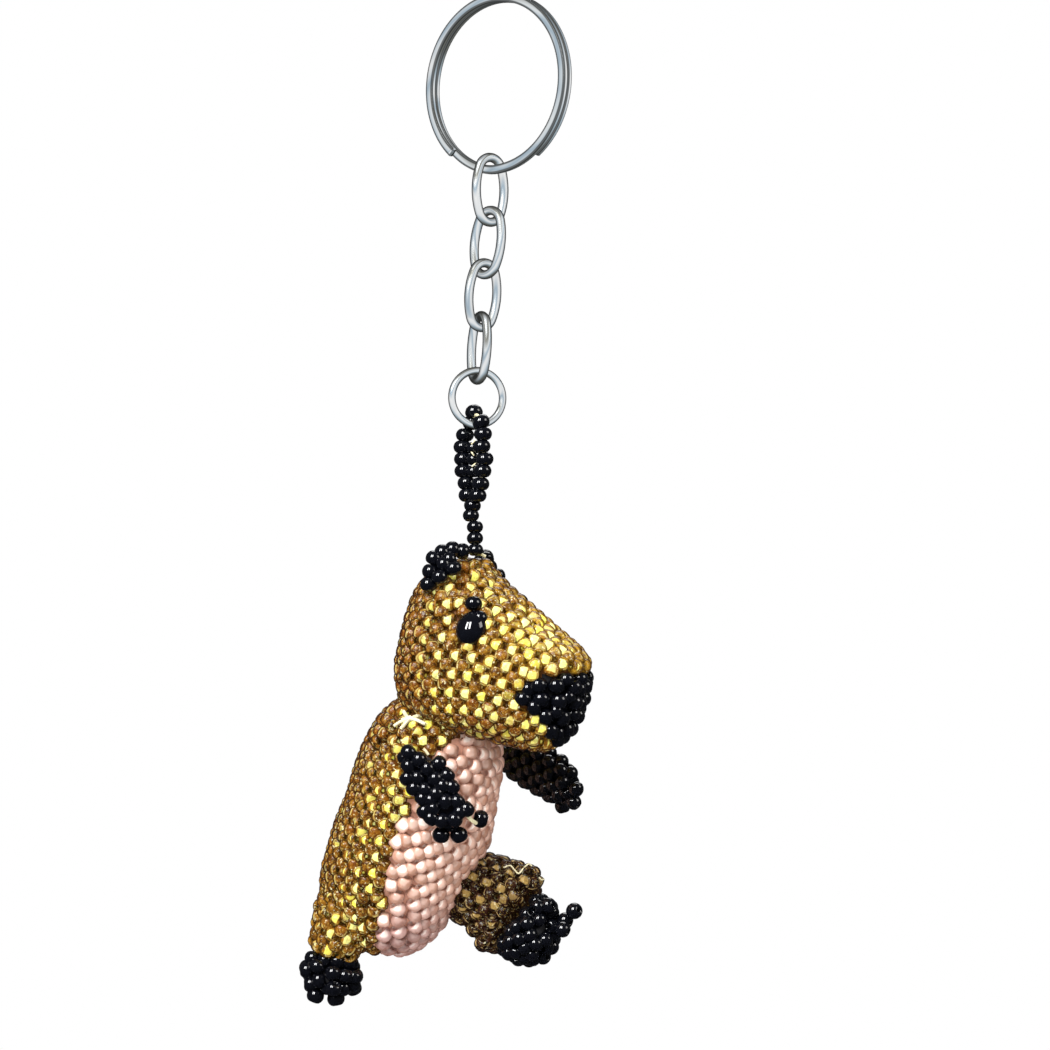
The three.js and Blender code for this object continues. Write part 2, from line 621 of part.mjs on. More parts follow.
// A round bar along a smooth curve, with a radius for each of its points.
function tube(points, radii, steps, around) {
  const curve = new THREE.CatmullRomCurve3(points);
  const radiusCurve = new THREE.CatmullRomCurve3(radii.map((radius) => vec(radius, 0, 0)));
  const rows = [[points[0]]];
  let across = LEFT;
  for (let i = 0; i <= steps; i++) {
    const along = curve.getTangent(i / steps);
    across = squareTo(along, across);
    const second = along.clone().cross(across);
    const radius = radiusCurve.getPoint(i / steps).x;
    rows.push(ellipse(curve.getPoint(i / steps), across, second, radius, radius, around));
  }
  rows.push([points[points.length - 1]]);
  return skin(rows);
}

function hangerLoop() {
  const legs = solid(tube(hung(LOOP), LOOP.map(() => LOOP_RADIUS), 26, 8));
  return largest(legs.add(solid(tube(hung(ROOT), ROOT_RADII, 6, 8))));
}

// A column of beads, turned as one piece.
function hangerStrand() {
  const mouth = BEAD_MOUTH * BEAD_RADIUS;
  const bottom = -STRAND_BEADS * BEAD_LENGTH;
  const profile = [[0, 0]];
  for (let i = 0; i < STRAND_BEADS; i++) {
    profile.push([mouth, -i * BEAD_LENGTH], [BEAD_RADIUS, -(i + 0.5) * BEAD_LENGTH]);
  }
  profile.push([mouth, bottom], [0, bottom]);
  const geometry = lathe(profile);
  geometry.rotateX(Math.PI / 2);
  geometry.translate(STRAND_X, STRAND_Y, STRAND_TOP + loopShift.z);
  return weld(geometry);
}

const crownBead = () =>
  bead([STRAND_X, STRAND_Y - 0.05, -75.85], BEAD_RADIUS, BEAD_LENGTH, vec(0, 0, 1));
const crownThread = () => tube(
  [vec(-0.6, -0.3, -76.85), vec(-1.0, -0.7, -76.9), vec(-1.5, -1.1, -77.1)],
  [0.11, 0.13, 0.11], 3, 6);

// Finger and toe beads: [centre, radius, axis].
const TIPS = {
  right_finger_1: [[-6.90, -4.30, -112.55], 1.20, [0.5, -0.8, -0.2]],
  right_finger_2: [[-10.26, -0.43, -114.66], 1.15, [0.2, 0.1, -1]],
  right_finger_3: [[-8.88, -2.62, -114.68], 1.15, [0.3, -0.3, -1]],
  left_finger_1: [[13.52, -5.87, -112.15], 1.08, [0, -0.3, -1]],
  left_finger_2: [[10.10, -10.08, -109.51], 1.08, [0, -0.3, 1]],
  left_finger_3: [[11.10, -9.40, -111.39], 1.08, [0, -0.8, -0.6]],
  right_toe_1: [[-7.80, 21.76, -138.48], 1.20, [-0.3, 0.3, -1]],
  right_toe_2: [[-5.90, 19.57, -138.99], 1.20, [0, -0.2, -1]],
  right_toe_3: [[-1.44, 19.40, -137.72], 1.15, [0.3, -0.3, -1]],
  left_toe_1: [[6.90, -10.15, -127.34], 1.08, [0, -1, -0.3]],
  left_toe_2: [[6.20, -12.02, -125.80], 1.07, [-0.2, -1, 0.2]],
  left_toe_3: [[5.17, -10.43, -128.82], 1.08, [0, -1, -0.4]],
};

// ---- assembly ----
const LOOKS = {
  steel: { color: 0xb9bec4, roughness: 0.22, metalness: 1.0 },
  black: { color: 0x0a0b10, roughness: 0.12, metalness: 0.0 },
  gold: { color: 0xc98a12, roughness: 0.25, metalness: 0.4 },
  pink: { color: 0xe8b9a6, roughness: 0.3, metalness: 0.0 },
  thread: { color: 0xf2f1ea, roughness: 0.2, metalness: 0.0 },
  fill: { color: 0xe9e2d4, roughness: 0.95, metalness: 0.0 },
};
const group = new THREE.Group();
function put(name, geometry, look) {
  const mesh = new THREE.Mesh(geometry, new THREE.MeshStandardMaterial(LOOKS[look]));
  mesh.name = name;
  geometry.translate(-ORIGIN.x, -ORIGIN.y, -ORIGIN.z);
  group.add(mesh);
}

put('split_ring', splitRing(), 'steel');
links.forEach((link, k) => put(`chain_link_${k + 1}`, link, 'steel'));
put('jump_ring', jumpRing(), 'steel');
put('hanger_loop', shape(hangerLoop()), 'black');
put('hanger_strand', hangerStrand(), 'black');
put('crown_bead', crownBead(), 'black');
put('crown_thread', crownThread(), 'thread');
put('head_shell', shape(headShell()), 'gold');
put('muzzle', shape(muzzle()), 'black');
for (const [name, build] of Object.entries(FACE)) {
  put(`right_${name}`, onHead(build(-1)), 'black');
  put(`left_${name}`, onHead(build(1)), 'black');
}
put('head_stuffing', shape(headStuffing()), 'fill');
put('torso_shell', shape(torsoShell()), 'gold');
put('belly_panel', shape(bellyPanel()), 'pink');
put('torso_stuffing', shape(torsoStuffing()), 'fill');
for (const [name, limb] of Object.entries(LIMBS)) {
  put(name, shape(solid(limbSkin(limb))), limb.look);
}
for (const [name, [centre, radius, axis]] of Object.entries(TIPS)) {
  put(name, bead(centre, radius, TIP_LENGTH, vec(...axis)), 'black');
}

export default group;
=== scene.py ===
"""A beaded animal on a key ring: split ring, four chain links, jump ring, bead hanger, animal.

Shapes are set out in millimetres from the animal's middle line; SHIFT carries them to the
frame's origin. The animal faces -Y with its right side at -X, and Z runs up. It hangs below
the ring. Head and body are woven from gold, pink and black beads over a lining.
"""
import bpy, math
from collections import namedtuple
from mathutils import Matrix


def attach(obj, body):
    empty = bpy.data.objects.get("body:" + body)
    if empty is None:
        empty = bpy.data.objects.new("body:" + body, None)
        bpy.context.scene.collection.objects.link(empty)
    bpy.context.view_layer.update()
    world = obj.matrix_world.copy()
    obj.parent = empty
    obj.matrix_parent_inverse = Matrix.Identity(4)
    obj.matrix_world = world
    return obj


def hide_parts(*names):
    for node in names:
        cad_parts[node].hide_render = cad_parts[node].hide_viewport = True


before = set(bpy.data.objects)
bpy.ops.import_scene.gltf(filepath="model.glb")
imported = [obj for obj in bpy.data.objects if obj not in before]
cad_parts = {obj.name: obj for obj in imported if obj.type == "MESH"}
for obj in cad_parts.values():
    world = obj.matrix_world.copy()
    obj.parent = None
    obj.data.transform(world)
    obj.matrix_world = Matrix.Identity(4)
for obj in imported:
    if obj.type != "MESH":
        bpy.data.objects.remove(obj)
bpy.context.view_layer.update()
from types import SimpleNamespace
import numpy as np
from mathutils import Vector
from mathutils.kdtree import KDTree

MM = 0.001
rng = np.random.default_rng(7)
SHIFT = np.array([0.0, 3.197, 0.0345])

# ---------------------------------------------------------------- side view
# Many places are set out as (across, drop): where they appear, in mm, on an upright plane
# facing the eye. Across runs to the viewer's right and drop runs down. A third number,
# toward, is the true distance from the middle line towards the viewer.
ACROSS = np.array([0.5, -0.8660254, 0.0])
UP = np.array([0.0, 0.0, 1.0])
TOWARD = np.array([-0.8660254, -0.5, 0.0])
EYE_ACROSS, EYE_UP = 6.672, -72.419
EYE_DISTANCE = 405.4           # from the eye to the middle line
VIEW_PLANE = 405 + 5 / 12      # from the eye to the plane of the side view


def view_place(points):
    """Across, drop and toward of points."""
    toward = points @ TOWARD
    scale = VIEW_PLANE / (EYE_DISTANCE - toward)
    across = EYE_ACROSS + (points @ ACROSS - EYE_ACROSS) * scale
    drop = -(EYE_UP + (points[..., 2] - EYE_UP) * scale)
    return across, drop, toward


def near_place(points):
    """Across and drop after folding both sides of the animal onto its right side."""
    folded = points.copy()
    folded[..., 0] = -np.abs(folded[..., 0])
    return view_place(folded)[:2]


def at_depth(across, drop, toward):
    """The point seen at (across, drop) that lies `toward` from the middle line."""
    scale = (EYE_DISTANCE - toward) / VIEW_PLANE
    right = EYE_ACROSS + (across - EYE_ACROSS) * scale
    height = EYE_UP + (-drop - EYE_UP) * scale
    return right * ACROSS + height * UP + toward * TOWARD


# ---------------------------------------------------------------- body sections
# [forward, height, pitch in degrees, reach to the front, reach to the back, half width]
HEAD = [
    [-0.32, -77.08, 0.0, 0.00, 0.00, 0.00], [-0.49, -77.74, 2.4, 1.90, 1.68, 3.00],
    [-1.14, -79.20, 5.4, 3.75, 4.43, 5.60], [-1.79, -81.48, 3.1, 6.90, 6.63, 7.40],
    [-2.11, -84.15, 2.0, 10.90, 7.45, 8.80], [-2.11, -86.91, 1.6, 14.60, 8.18, 9.90],
    [-2.11, -89.49, 1.1, 18.00, 8.68, 10.60], [-2.11, -91.61, 0.5, 19.40, 9.11, 11.00],
    [-1.79, -93.52, 1.0, 19.10, 9.45, 11.10], [-1.46, -95.62, 3.9, 18.10, 9.55, 10.90],
    [-1.14, -97.31, 6.3, 17.00, 9.45, 10.20], [-0.16, -98.70, 8.5, 15.01, 8.96, 9.00],
    [1.46, -100.04, 10.9, 11.70, 7.79, 7.00], [3.71, -101.32, 14.4, 6.28, 6.10, 4.20],
    [4.51, -101.72, 14.4, 0.00, 0.00, 0.00],
]
TORSO = [
    [-4.56, -95.48, 14.4, 0.00, 0.00, 0.00], [-4.23, -96.68, 15.0, 3.57, 3.78, 4.60],
    [-5.05, -98.78, 17.2, 6.64, 6.64, 8.20], [-5.88, -101.14, 16.5, 8.34, 8.54, 10.00],
    [-7.11, -104.67, 14.7, 9.72, 9.72, 10.70], [-8.27, -108.15, 13.1, 10.16, 10.16, 11.00],
    [-9.26, -111.85, 12.1, 10.42, 10.42, 11.30], [-10.67, -115.72, 11.8, 10.88, 10.88, 11.40],
    [-12.42, -119.41, 10.5, 10.45, 10.45, 11.20], [-13.68, -122.45, 8.8, 10.31, 10.31, 10.70],
    [-14.60, -125.20, 7.2, 9.73, 9.73, 9.80], [-15.10, -127.85, 6.9, 8.62, 8.62, 8.60],
    [-15.52, -130.29, 5.7, 6.83, 6.83, 6.80], [-15.86, -132.08, 3.3, 4.52, 4.34, 4.00],
    [-15.86, -132.93, 0.0, 0.00, 0.00, 0.00],
]
# Limbs: [x, y, z, half height, half thickness] along a line
RIGHT_ARM = [
    [-12.65, 3.50, -102.17, 0.00, 0.00], [-12.54, 2.93, -102.97, 1.63, 1.40],
    [-12.17, 1.88, -104.72, 3.05, 2.20], [-11.66, 0.60, -106.87, 3.39, 2.30],
    [-10.83, -0.64, -109.19, 3.39, 2.30], [-9.96, -1.54, -111.11, 2.99, 2.20],
    [-9.22, -2.13, -112.65, 1.80, 1.50], [-8.92, -2.42, -113.20, 0.00, 0.00],
]
LEFT_ARM = [
    [12.40, 3.59, -104.09, 0.00, 0.00], [12.60, 2.88, -104.65, 1.72, 1.40],
    [12.60, 1.06, -105.50, 3.00, 2.20], [12.40, -1.37, -106.45, 3.45, 2.30],
    [12.00, -4.05, -107.40, 3.60, 2.30], [11.60, -6.43, -108.60, 3.30, 2.20],
    [11.30, -8.09, -109.75, 2.20, 1.60], [11.20, -8.90, -110.30, 0.00, 0.00],
]
RIGHT_LEG = [
    [-4.80, 15.60, -121.22, 0.00, 0.00], [-4.90, 16.03, -122.36, 2.81, 2.80],
    [-5.10, 16.91, -124.22, 4.49, 4.00], [-5.40, 18.22, -127.08, 4.78, 4.20],
    [-5.60, 19.27, -129.94, 4.08, 3.90], [-5.70, 19.96, -132.09, 3.52, 3.50],
    [-5.70, 20.13, -132.73, 2.11, 2.20], [-5.70, 20.21, -132.88, 0.00, 0.00],
]
RIGHT_FOOT = [
    [-5.70, 20.04, -133.22, 0.00, 0.00], [-5.70, 20.11, -133.43, 2.67, 2.80],
    [-5.70, 20.21, -134.36, 3.80, 3.70], [-5.80, 20.48, -135.63, 4.29, 4.10],
    [-5.80, 20.65, -136.77, 3.80, 3.70], [-5.80, 20.74, -137.48, 2.25, 2.40],
    [-5.80, 20.82, -137.77, 0.00, 0.00],
]
LEFT_LEG = [
    [5.00, 8.12, -123.63, 0.00, 0.00], [5.00, 7.13, -123.71, 3.40, 3.00],
    [5.10, 5.40, -123.85, 4.90, 4.20], [5.20, 3.40, -124.05, 5.40, 4.50],
    [5.40, 1.20, -124.50, 5.90, 4.70], [5.50, -0.80, -125.65, 6.90, 4.80],
    [5.60, -2.40, -126.70, 7.10, 4.70], [5.60, -3.10, -127.14, 4.40, 3.40],
    [5.60, -3.32, -127.28, 0.00, 0.00],
]
LEFT_FOOT = [
    [5.60, -3.78, -127.74, 0.00, 0.00], [5.60, -4.00, -127.94, 4.15, 3.40],
    [5.65, -4.75, -128.62, 5.45, 4.40], [5.70, -5.70, -129.35, 5.00, 4.40],
    [5.70, -7.00, -129.85, 4.00, 3.70], [5.70, -8.20, -130.15, 2.80, 2.70],
    [5.70, -9.10, -130.35, 0.00, 0.00],
]
HEAD_EGG, TORSO_EGG = 0.28, 0.0    # how far the sections narrow towards the front
BEAD_INSET = 1.02                  # from the body's outline in to the bead centres


# ---------------------------------------------------------------- surfaces
def unit(v):
    return v / np.maximum(np.linalg.norm(v, axis=-1, keepdims=True), 1e-9)


def curve_point(points, i, s):
    """Catmull-Rom curve through points, a part s of the way from point i to the next."""
    last = len(points) - 1
    a, b, c, d = points[max(i - 1, 0)], points[i], points[i + 1], points[min(i + 2, last)]
    return 0.5 * (2 * b + (c - a) * s + (2 * a - 5 * b + 4 * c - d) * s * s
                  + (3 * b - a - 3 * c + d) * s ** 3)


def spline_rows(table, radii, per=10):
    """Smooth rows between table rows; the end caps are rounded."""
    table = np.array(table, float)
    rows = []
    for i in range(len(table) - 1):
        here, after = table[i], table[i + 1]
        for k in range(per):
            s = k / per
            row = curve_point(table, i, s)
            if i == 0:
                row = here + (after - here) * s
                row[radii] = after[radii] * math.sqrt(s * (2 - s))
            elif i == len(table) - 2:
                row = here + (after - here) * s
                row[radii] = here[radii] * math.sqrt(1 - s * s)
            rows.append(row)
    rows.append(table[-1])
    return np.array(rows)


def even(grid, count):
    """Resamples a grid of rows evenly along its mean meridian."""
    step = np.linalg.norm(np.diff(grid, axis=0), axis=2).mean(1)
    s = np.concatenate([[0], np.cumsum(step)])
    at = np.linspace(0, s[-1], count)
    i = np.clip(np.searchsorted(s, at, side="right") - 1, 0, len(s) - 2)
    part = ((at - s[i]) / np.maximum(s[i + 1] - s[i], 1e-9))[:, None, None]
    return grid[i] * (1 - part) + grid[i + 1] * part


def body_grid(table, egg, inset, around=150, rows=100):
    sections = spline_rows(table, [3, 4, 5])
    angle = np.linspace(0, 2 * math.pi, around, endpoint=False)
    ca, sa = np.cos(angle), np.sin(angle)
    if egg:
        power = np.where(ca > 0, 0.8, 1.0)
        ca, sa = np.sign(ca) * np.abs(ca) ** power, np.sign(sa) * np.abs(sa) ** power
    top, bottom = sections[0, 1], sections[-1, 1]
    grid = []
    for forward, height, pitch, front, back, half in sections:
        tilt = math.radians(pitch)
        ahead = np.array([0, -math.cos(tilt), -math.sin(tilt)])
        reach = np.where(ca > 0, np.maximum(front - inset, 0), np.maximum(back - inset, 0))
        side = max(half - inset, 0) * (1 - egg * np.maximum(0, ca))
        z = min(max(height, bottom + inset), top - inset)
        grid.append(np.array([0, -forward, z]) + np.outer(reach * ca, ahead)
                    + np.outer(side * sa, [1, 0, 0]))
    return even(np.array(grid), rows)


def limb_grid(table, outward, inset, around=64, rows=60):
    sections = spline_rows(table, [3, 4])
    line = sections[:, :3]
    tangent = np.gradient(line, axis=0)
    tangent /= np.linalg.norm(tangent, axis=1)[:, None]
    lengths = np.linalg.norm(np.diff(line, axis=0), axis=1)
    total = lengths.sum()
    s = np.concatenate([[0], np.cumsum(lengths)])
    angle = np.linspace(0, 2 * math.pi, around, endpoint=False)
    grid = []
    for i, t in enumerate(tangent):
        thick = outward - outward @ t * t
        thick /= np.linalg.norm(thick)
        high = np.cross(t, thick)
        centre = line[i] + t * (max(0, inset - s[i]) - max(0, inset - (total - s[i])))
        grid.append(centre + np.outer(max(sections[i, 3] - inset, 0) * np.cos(angle), high)
                    + np.outer(max(sections[i, 4] - inset, 0) * np.sin(angle), thick))
    return even(np.array(grid), rows)


def normals(grid):
    """Outward normals of a grid; the poles take the mean of the row beside them."""
    n = np.cross(np.roll(grid, -1, 1) - np.roll(grid, 1, 1), np.gradient(grid, axis=0))
    length = np.linalg.norm(n, axis=2)
    bad = length < 1e-6
    n[~bad] /= length[~bad][:, None]
    centre = grid.mean((0, 1))
    if ((grid - centre) * n).sum() < 0:
        n = -n
    up = grid[0].mean(0) - centre
    n[bad] = 0
    for row, beside in ((0, 1), (-1, -2)):
        n[row] = n[beside].mean(0)
    n[np.linalg.norm(n, axis=2) < 1e-6] = up / np.linalg.norm(up)
    return n / np.linalg.norm(n, axis=2)[..., None]


def nearest_on(surface, across, drop, lift=0.0):
    """Point and normal of a surface seen at a side-view place, lifted along the normal."""
    points, outs = (part.reshape(-1, 3) for part in surface)
    seen_across, seen_drop, toward = view_place(points)
    turned_away = np.where(outs @ TOWARD > 0.05, 0, 1e4)
    distance = np.hypot(seen_across - across, seen_drop - drop) + turned_away
    k = int(np.argmin(distance))
    place = at_depth(across, drop, toward[k]) if distance[k] < 4.17 else points[k]
    return place + outs[k] * lift, outs[k]


def mirror(p):
    return np.array([-p[0], p[1], p[2]])


def ramp(value, start, end):
    """0 at start, 1 at end, held level beyond both."""
    return np.clip((value - start) / (end - start), 0.0, 1.0)


# ---------------------------------------------------------------- weaving
# A bead's place in the weave; mass is the share of surface it covers, and family tells which
# of the two lattice directions its hole follows.
Knot = namedtuple("Knot", "mass place out axis family")


def lattice_place(offset, a, b):
    """How many steps a and b make up an offset."""
    aa, bb, ab = (a * a).sum(-1), (b * b).sum(-1), (a * b).sum(-1)
    da, db = (offset * a).sum(-1), (offset * b).sum(-1)
    det = np.maximum(aa * bb - ab * ab, 1e-6)
    return (da * bb - db * ab) / det, (db * aa - da * ab) / det


def carry(knot, a1, b1, a2, b2, target):
    """Moves a knot by whole lattice steps to the one nearest the target."""
    a, b = (a1 + a2) / 2, (b1 + b2) / 2
    i, j = lattice_place(target - knot, a, b)
    return knot + np.round(i)[..., None] * a + np.round(j)[..., None] * b


def flatten(knot, point, normal):
    return knot - ((knot - point) * normal).sum(-1, keepdims=True) * normal


def weave(P, N, A, B, start_row, start_col, rounds=60):
    """Right-angle weave on a grid of points P with normals N and lattice steps A and B.

    Every point holds the nearest knot of its own lattice, and neighbours are brought to
    agree. Beads lie half way between knots.
    """
    rows, cols = P.shape[:2]
    Q = P.copy()
    r = start_row
    for side in (1, -1):
        for k in range(1, cols // 2 + 1):
            c, prev = (start_col + side * k) % cols, (start_col + side * (k - 1)) % cols
            knot = carry(Q[r, prev], A[r, prev], B[r, prev], A[r, c], B[r, c], P[r, c])
            Q[r, c] = flatten(knot, P[r, c], N[r, c])
    for side, stop in ((1, rows), (-1, -1)):
        for r in range(start_row + side, stop, side):
            knot = carry(Q[r - side], A[r - side], B[r - side], A[r], B[r], P[r])
            Q[r] = flatten(knot, P[r], N[r])
    for _ in range(rounds):
        total, count = Q.copy(), np.ones(Q.shape[:2])
        for dr, dc in ((0, 1), (0, -1), (1, 0), (-1, 0), (0, 2), (0, -2), (2, 0), (-2, 0)):
            if dr:
                src = slice(max(0, -dr), rows - max(0, dr))
                dst = slice(max(0, dr), rows - max(0, -dr))
                total[dst] += carry(Q[src], A[src], B[src], A[dst], B[dst], Q[dst])
                count[dst] += 1
            else:
                turned = (np.roll(grid, dc, 1) for grid in (Q, A, B))
                total += carry(*turned, A, B, Q)
                count += 1
        Q = flatten(total / count[..., None], P, N)
        Q = flatten(carry(Q, A, B, A, B, P), P, N)
    size = np.linalg.norm(np.cross(np.roll(P, -1, 1) - P, np.gradient(P, axis=0)), axis=2)
    weights, outs = size.ravel(), N.reshape(-1, 3)
    found = []
    for family, (E, F) in enumerate(((A, B), (B, A))):
        i, _ = lattice_place(P - Q, E, F)
        middles = (Q + np.sign(i)[..., None] * 0.5 * E).reshape(-1, 3)
        found += gather(middles, weights, outs, E.reshape(-1, 3), family)
    return found


def gather(points, weights, outs, axes, family):
    """Joins clusters of points, the heaviest first, into one knot each."""
    tree = KDTree(len(points))
    for k, p in enumerate(points):
        tree.insert(p, k)
    tree.balance()
    free = np.ones(len(points), bool)
    knots = []
    for k in np.argsort(-weights, kind="stable"):
        if not free[k]:
            continue
        centre = points[k]
        for _ in range(2):
            near = [hit[1] for hit in tree.find_range(centre, 0.8)]
            if not near:
                break
            centre = np.average(points[near], axis=0, weights=weights[near] + 1e-9)
        near = [hit[1] for hit in tree.find_range(centre, 1.0)]
        free[near] = False
        free[k] = False
        if near:
            knots.append(Knot(weights[near].sum(), centre, np.average(outs[near], axis=0),
                              np.average(axes[near], axis=0), family))
    return knots


LEAST_MASS = 0.55


def settle(found, P, N, A, B, keep_off=(), least=1.25, cover=1.5):
    """Drops knots that crowd others or the (place, radius) pairs in keep_off, fills bare spots."""
    kept, places = [], []
    for knot in sorted((f for f in found if f.mass > LEAST_MASS), key=lambda f: -f.mass):
        if any(np.linalg.norm(knot.place - p) < radius for p, radius in keep_off):
            continue
        if places and np.linalg.norm(np.array(places) - knot.place, axis=1).min() < least:
            continue
        kept.append(knot)
        places.append(knot.place)
    points, outs = P.reshape(-1, 3), N.reshape(-1, 3)
    steps = A.reshape(-1, 3), B.reshape(-1, 3)
    near = np.full(len(points), 1e9)
    for p in places:
        near = np.minimum(near, np.linalg.norm(points - p, axis=1))
    for p, radius in keep_off:
        near = np.minimum(near, np.linalg.norm(points - p, axis=1) - radius + least)
    for _ in range(200):
        k = int(np.argmax(near))
        if near[k] < cover:
            break
        family = int(rng.random() < 0.5)
        kept.append(Knot(1.0, points[k], outs[k], steps[family][k], family))
        near = np.minimum(near, np.linalg.norm(points - points[k], axis=1))
    return kept


def body_steps(P, N, theta, beta, row_step, column_step):
    """Lattice steps: rows run at angle theta in the side view, columns at beta from the rows."""
    side = np.clip(-P[..., 0] / 2.5, -1, 1)
    slant = np.radians(theta)
    down = np.stack([np.sin(slant) * ACROSS[0] * side, np.sin(slant) * ACROSS[1],
                     -np.cos(slant)], -1)
    A = unit(np.cross(N, down))
    turn = np.radians(90 + side * (beta - 90))[..., None]
    B = np.cos(turn) * A + np.sin(turn) * np.cross(N, A)
    return A * row_step, B * column_step


def limb_steps(P, N, axis, around_step=2.3, along_step=2.35):
    A = unit(np.cross(N, np.broadcast_to(axis, P.shape)))
    A[np.linalg.norm(A, axis=-1) < 0.5] = [0, 0, 1]
    return A * around_step, unit(np.cross(N, A)) * along_step


# ---------------------------------------------------------------- meshes
def add_piece(name, vertices, faces, material, body, slot, stands=(), attributes={}):
    """Adds a smooth mesh in mm that rides a body and replaces the frame pieces in stands."""
    mesh = bpy.data.meshes.new(name)
    mesh.from_pydata(((np.array(vertices) + SHIFT) * MM).tolist(), [],
                     [list(map(int, f)) for f in faces])
    for key, values in attributes.items():
        values = np.array(values, np.float32)
        kind, field = ("FLOAT_VECTOR", "vector") if values.ndim == 2 else ("FLOAT", "value")
        attribute = mesh.attributes.new(key, kind, "POINT")
        attribute.data.foreach_set(field, values.ravel())
    mesh.polygons.foreach_set("use_smooth", [True] * len(mesh.polygons))
    mesh.materials.append(material)
    mesh.update()
    piece = bpy.data.objects.new(name, mesh)
    bpy.context.scene.collection.objects.link(piece)
    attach(piece, body)
    if stands:
        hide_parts(*stands)
    return piece


Bead = namedtuple("Bead", "place axis out diameter length family tone warm",
                  defaults=(0, 0.5, 0.5))

# Bead sections: (radius, half length), both as parts of the full size, round the glass
BARREL = [(0.40, -0.84), (0.60, -0.99), (0.80, -0.90), (0.95, -0.60), (1.0, 0.0), (0.95, 0.60),
          (0.80, 0.90), (0.60, 0.99), (0.40, 0.84)]
ROUND = [(0.26, -0.84), (0.44, -0.99), (0.66, -0.89), (0.87, -0.60), (0.97, -0.28), (1.0, 0.0),
         (0.97, 0.28), (0.87, 0.60), (0.66, 0.89), (0.44, 0.99), (0.26, 0.84)]


def bead_template(around, profile):
    n = len(profile)
    vertices, faces = [], []
    for i in range(around):
        a = 2 * math.pi * i / around
        vertices += [(r * math.cos(a), r * math.sin(a), h) for r, h in profile]
        j = (i + 1) % around
        for k in range(n):
            m = (k + 1) % n
            faces.append((i * n + k, j * n + k, j * n + m, i * n + m))
    return np.array(vertices), np.array(faces)


BARREL_BEAD = bead_template(14, BARREL)
ROUND_BEAD = bead_template(18, ROUND)


def add_beads(name, beads, material, body, slot, stands, template=BARREL_BEAD):
    """One mesh of many beads; the attributes carry each bead's look to its material."""
    shape, shape_faces = template
    vertices, faces, places, looks = [], [], [], []
    for number, bead in enumerate(beads):
        z = unit(np.array(bead.axis, float))
        x = np.array(bead.out, float)
        x = unit(x - x @ z * z)
        y = np.cross(z, x)
        turn = rng.random() * 0.45
        x, y = x * math.cos(turn) + y * math.sin(turn), y * math.cos(turn) - x * math.sin(turn)
        radius, half = bead.diameter / 2, bead.length / 2
        vertices.append(bead.place + np.outer(shape[:, 0] * radius, x)
                        + np.outer(shape[:, 1] * radius, y) + np.outer(shape[:, 2] * half, z))
        chance = rng.random()
        places.append([(chance, bead.family, h) for h in shape[:, 2]])
        looks.append([(bead.tone, rng.random(), bead.warm)] * len(shape))
        faces.append(shape_faces + number * len(shape))
    add_piece(name, np.concatenate(vertices), np.concatenate(faces), material, body, slot, stands,
              {"bead": np.concatenate(places), "look": np.concatenate(looks)})


def black_beads(name, beads, body, *stands):
    add_beads(name, beads, BLACK, body, "black_bead", stands, ROUND_BEAD)


def knot_bead(knot, diameter, length, tone=0.5, warm=0.5):
    return Bead(knot.place, knot.axis, knot.out, diameter, length, knot.family, tone, warm)


def grid_mesh(grid):
    """Closed surface from a grid whose first and last rows are poles."""
    rows, cols = grid.shape[:2]
    vertices = [grid[0].mean(0), *grid[1:-1].reshape(-1, 3), grid[-1].mean(0)]
    faces = [(0, 1 + c, 1 + (c + 1) % cols) for c in range(cols)]
    for r in range(rows - 3):
        for c in range(cols):
            a, b = 1 + r * cols + c, 1 + r * cols + (c + 1) % cols
            faces.append((a, a + cols, b + cols, b))
    last, ring = len(vertices) - 1, 1 + (rows - 3) * cols
    faces += [(last, ring + (c + 1) % cols, ring + c) for c in range(cols)]
    return vertices, faces


def tube_sides(rings, around, closed=False):
    faces = []
    for i in range(rings if closed else rings - 1):
        k = (i + 1) % rings
        for j in range(around):
            n = (j + 1) % around
            faces.append((i * around + j, i * around + n, k * around + n, k * around + j))
    return faces


def tube_caps(rings, around):
    return [tuple(range(around))[::-1], tuple(range((rings - 1) * around, rings * around))]


# ---------------------------------------------------------------- shader building
class Value:
    """A shader output that can be used in arithmetic."""

    def __init__(self, graph, socket):
        self.graph, self.socket = graph, socket

    def __add__(self, other):
        return self.graph.math("ADD", self, other)

    def __sub__(self, other):
        return self.graph.math("SUBTRACT", self, other)

    def __rsub__(self, other):
        return self.graph.math("SUBTRACT", other, self)

    def __mul__(self, other):
        return self.graph.math("MULTIPLY", self, other)

    def __abs__(self):
        return self.graph.math("ABSOLUTE", self)

    def step(self, low, high):
        """Smooth rise from 0 at low to 1 at high."""
        return self.graph.value("MapRange", "Result", {
            "Value": self, "From Min": low, "From Max": high}, interpolation_type="SMOOTHSTEP")


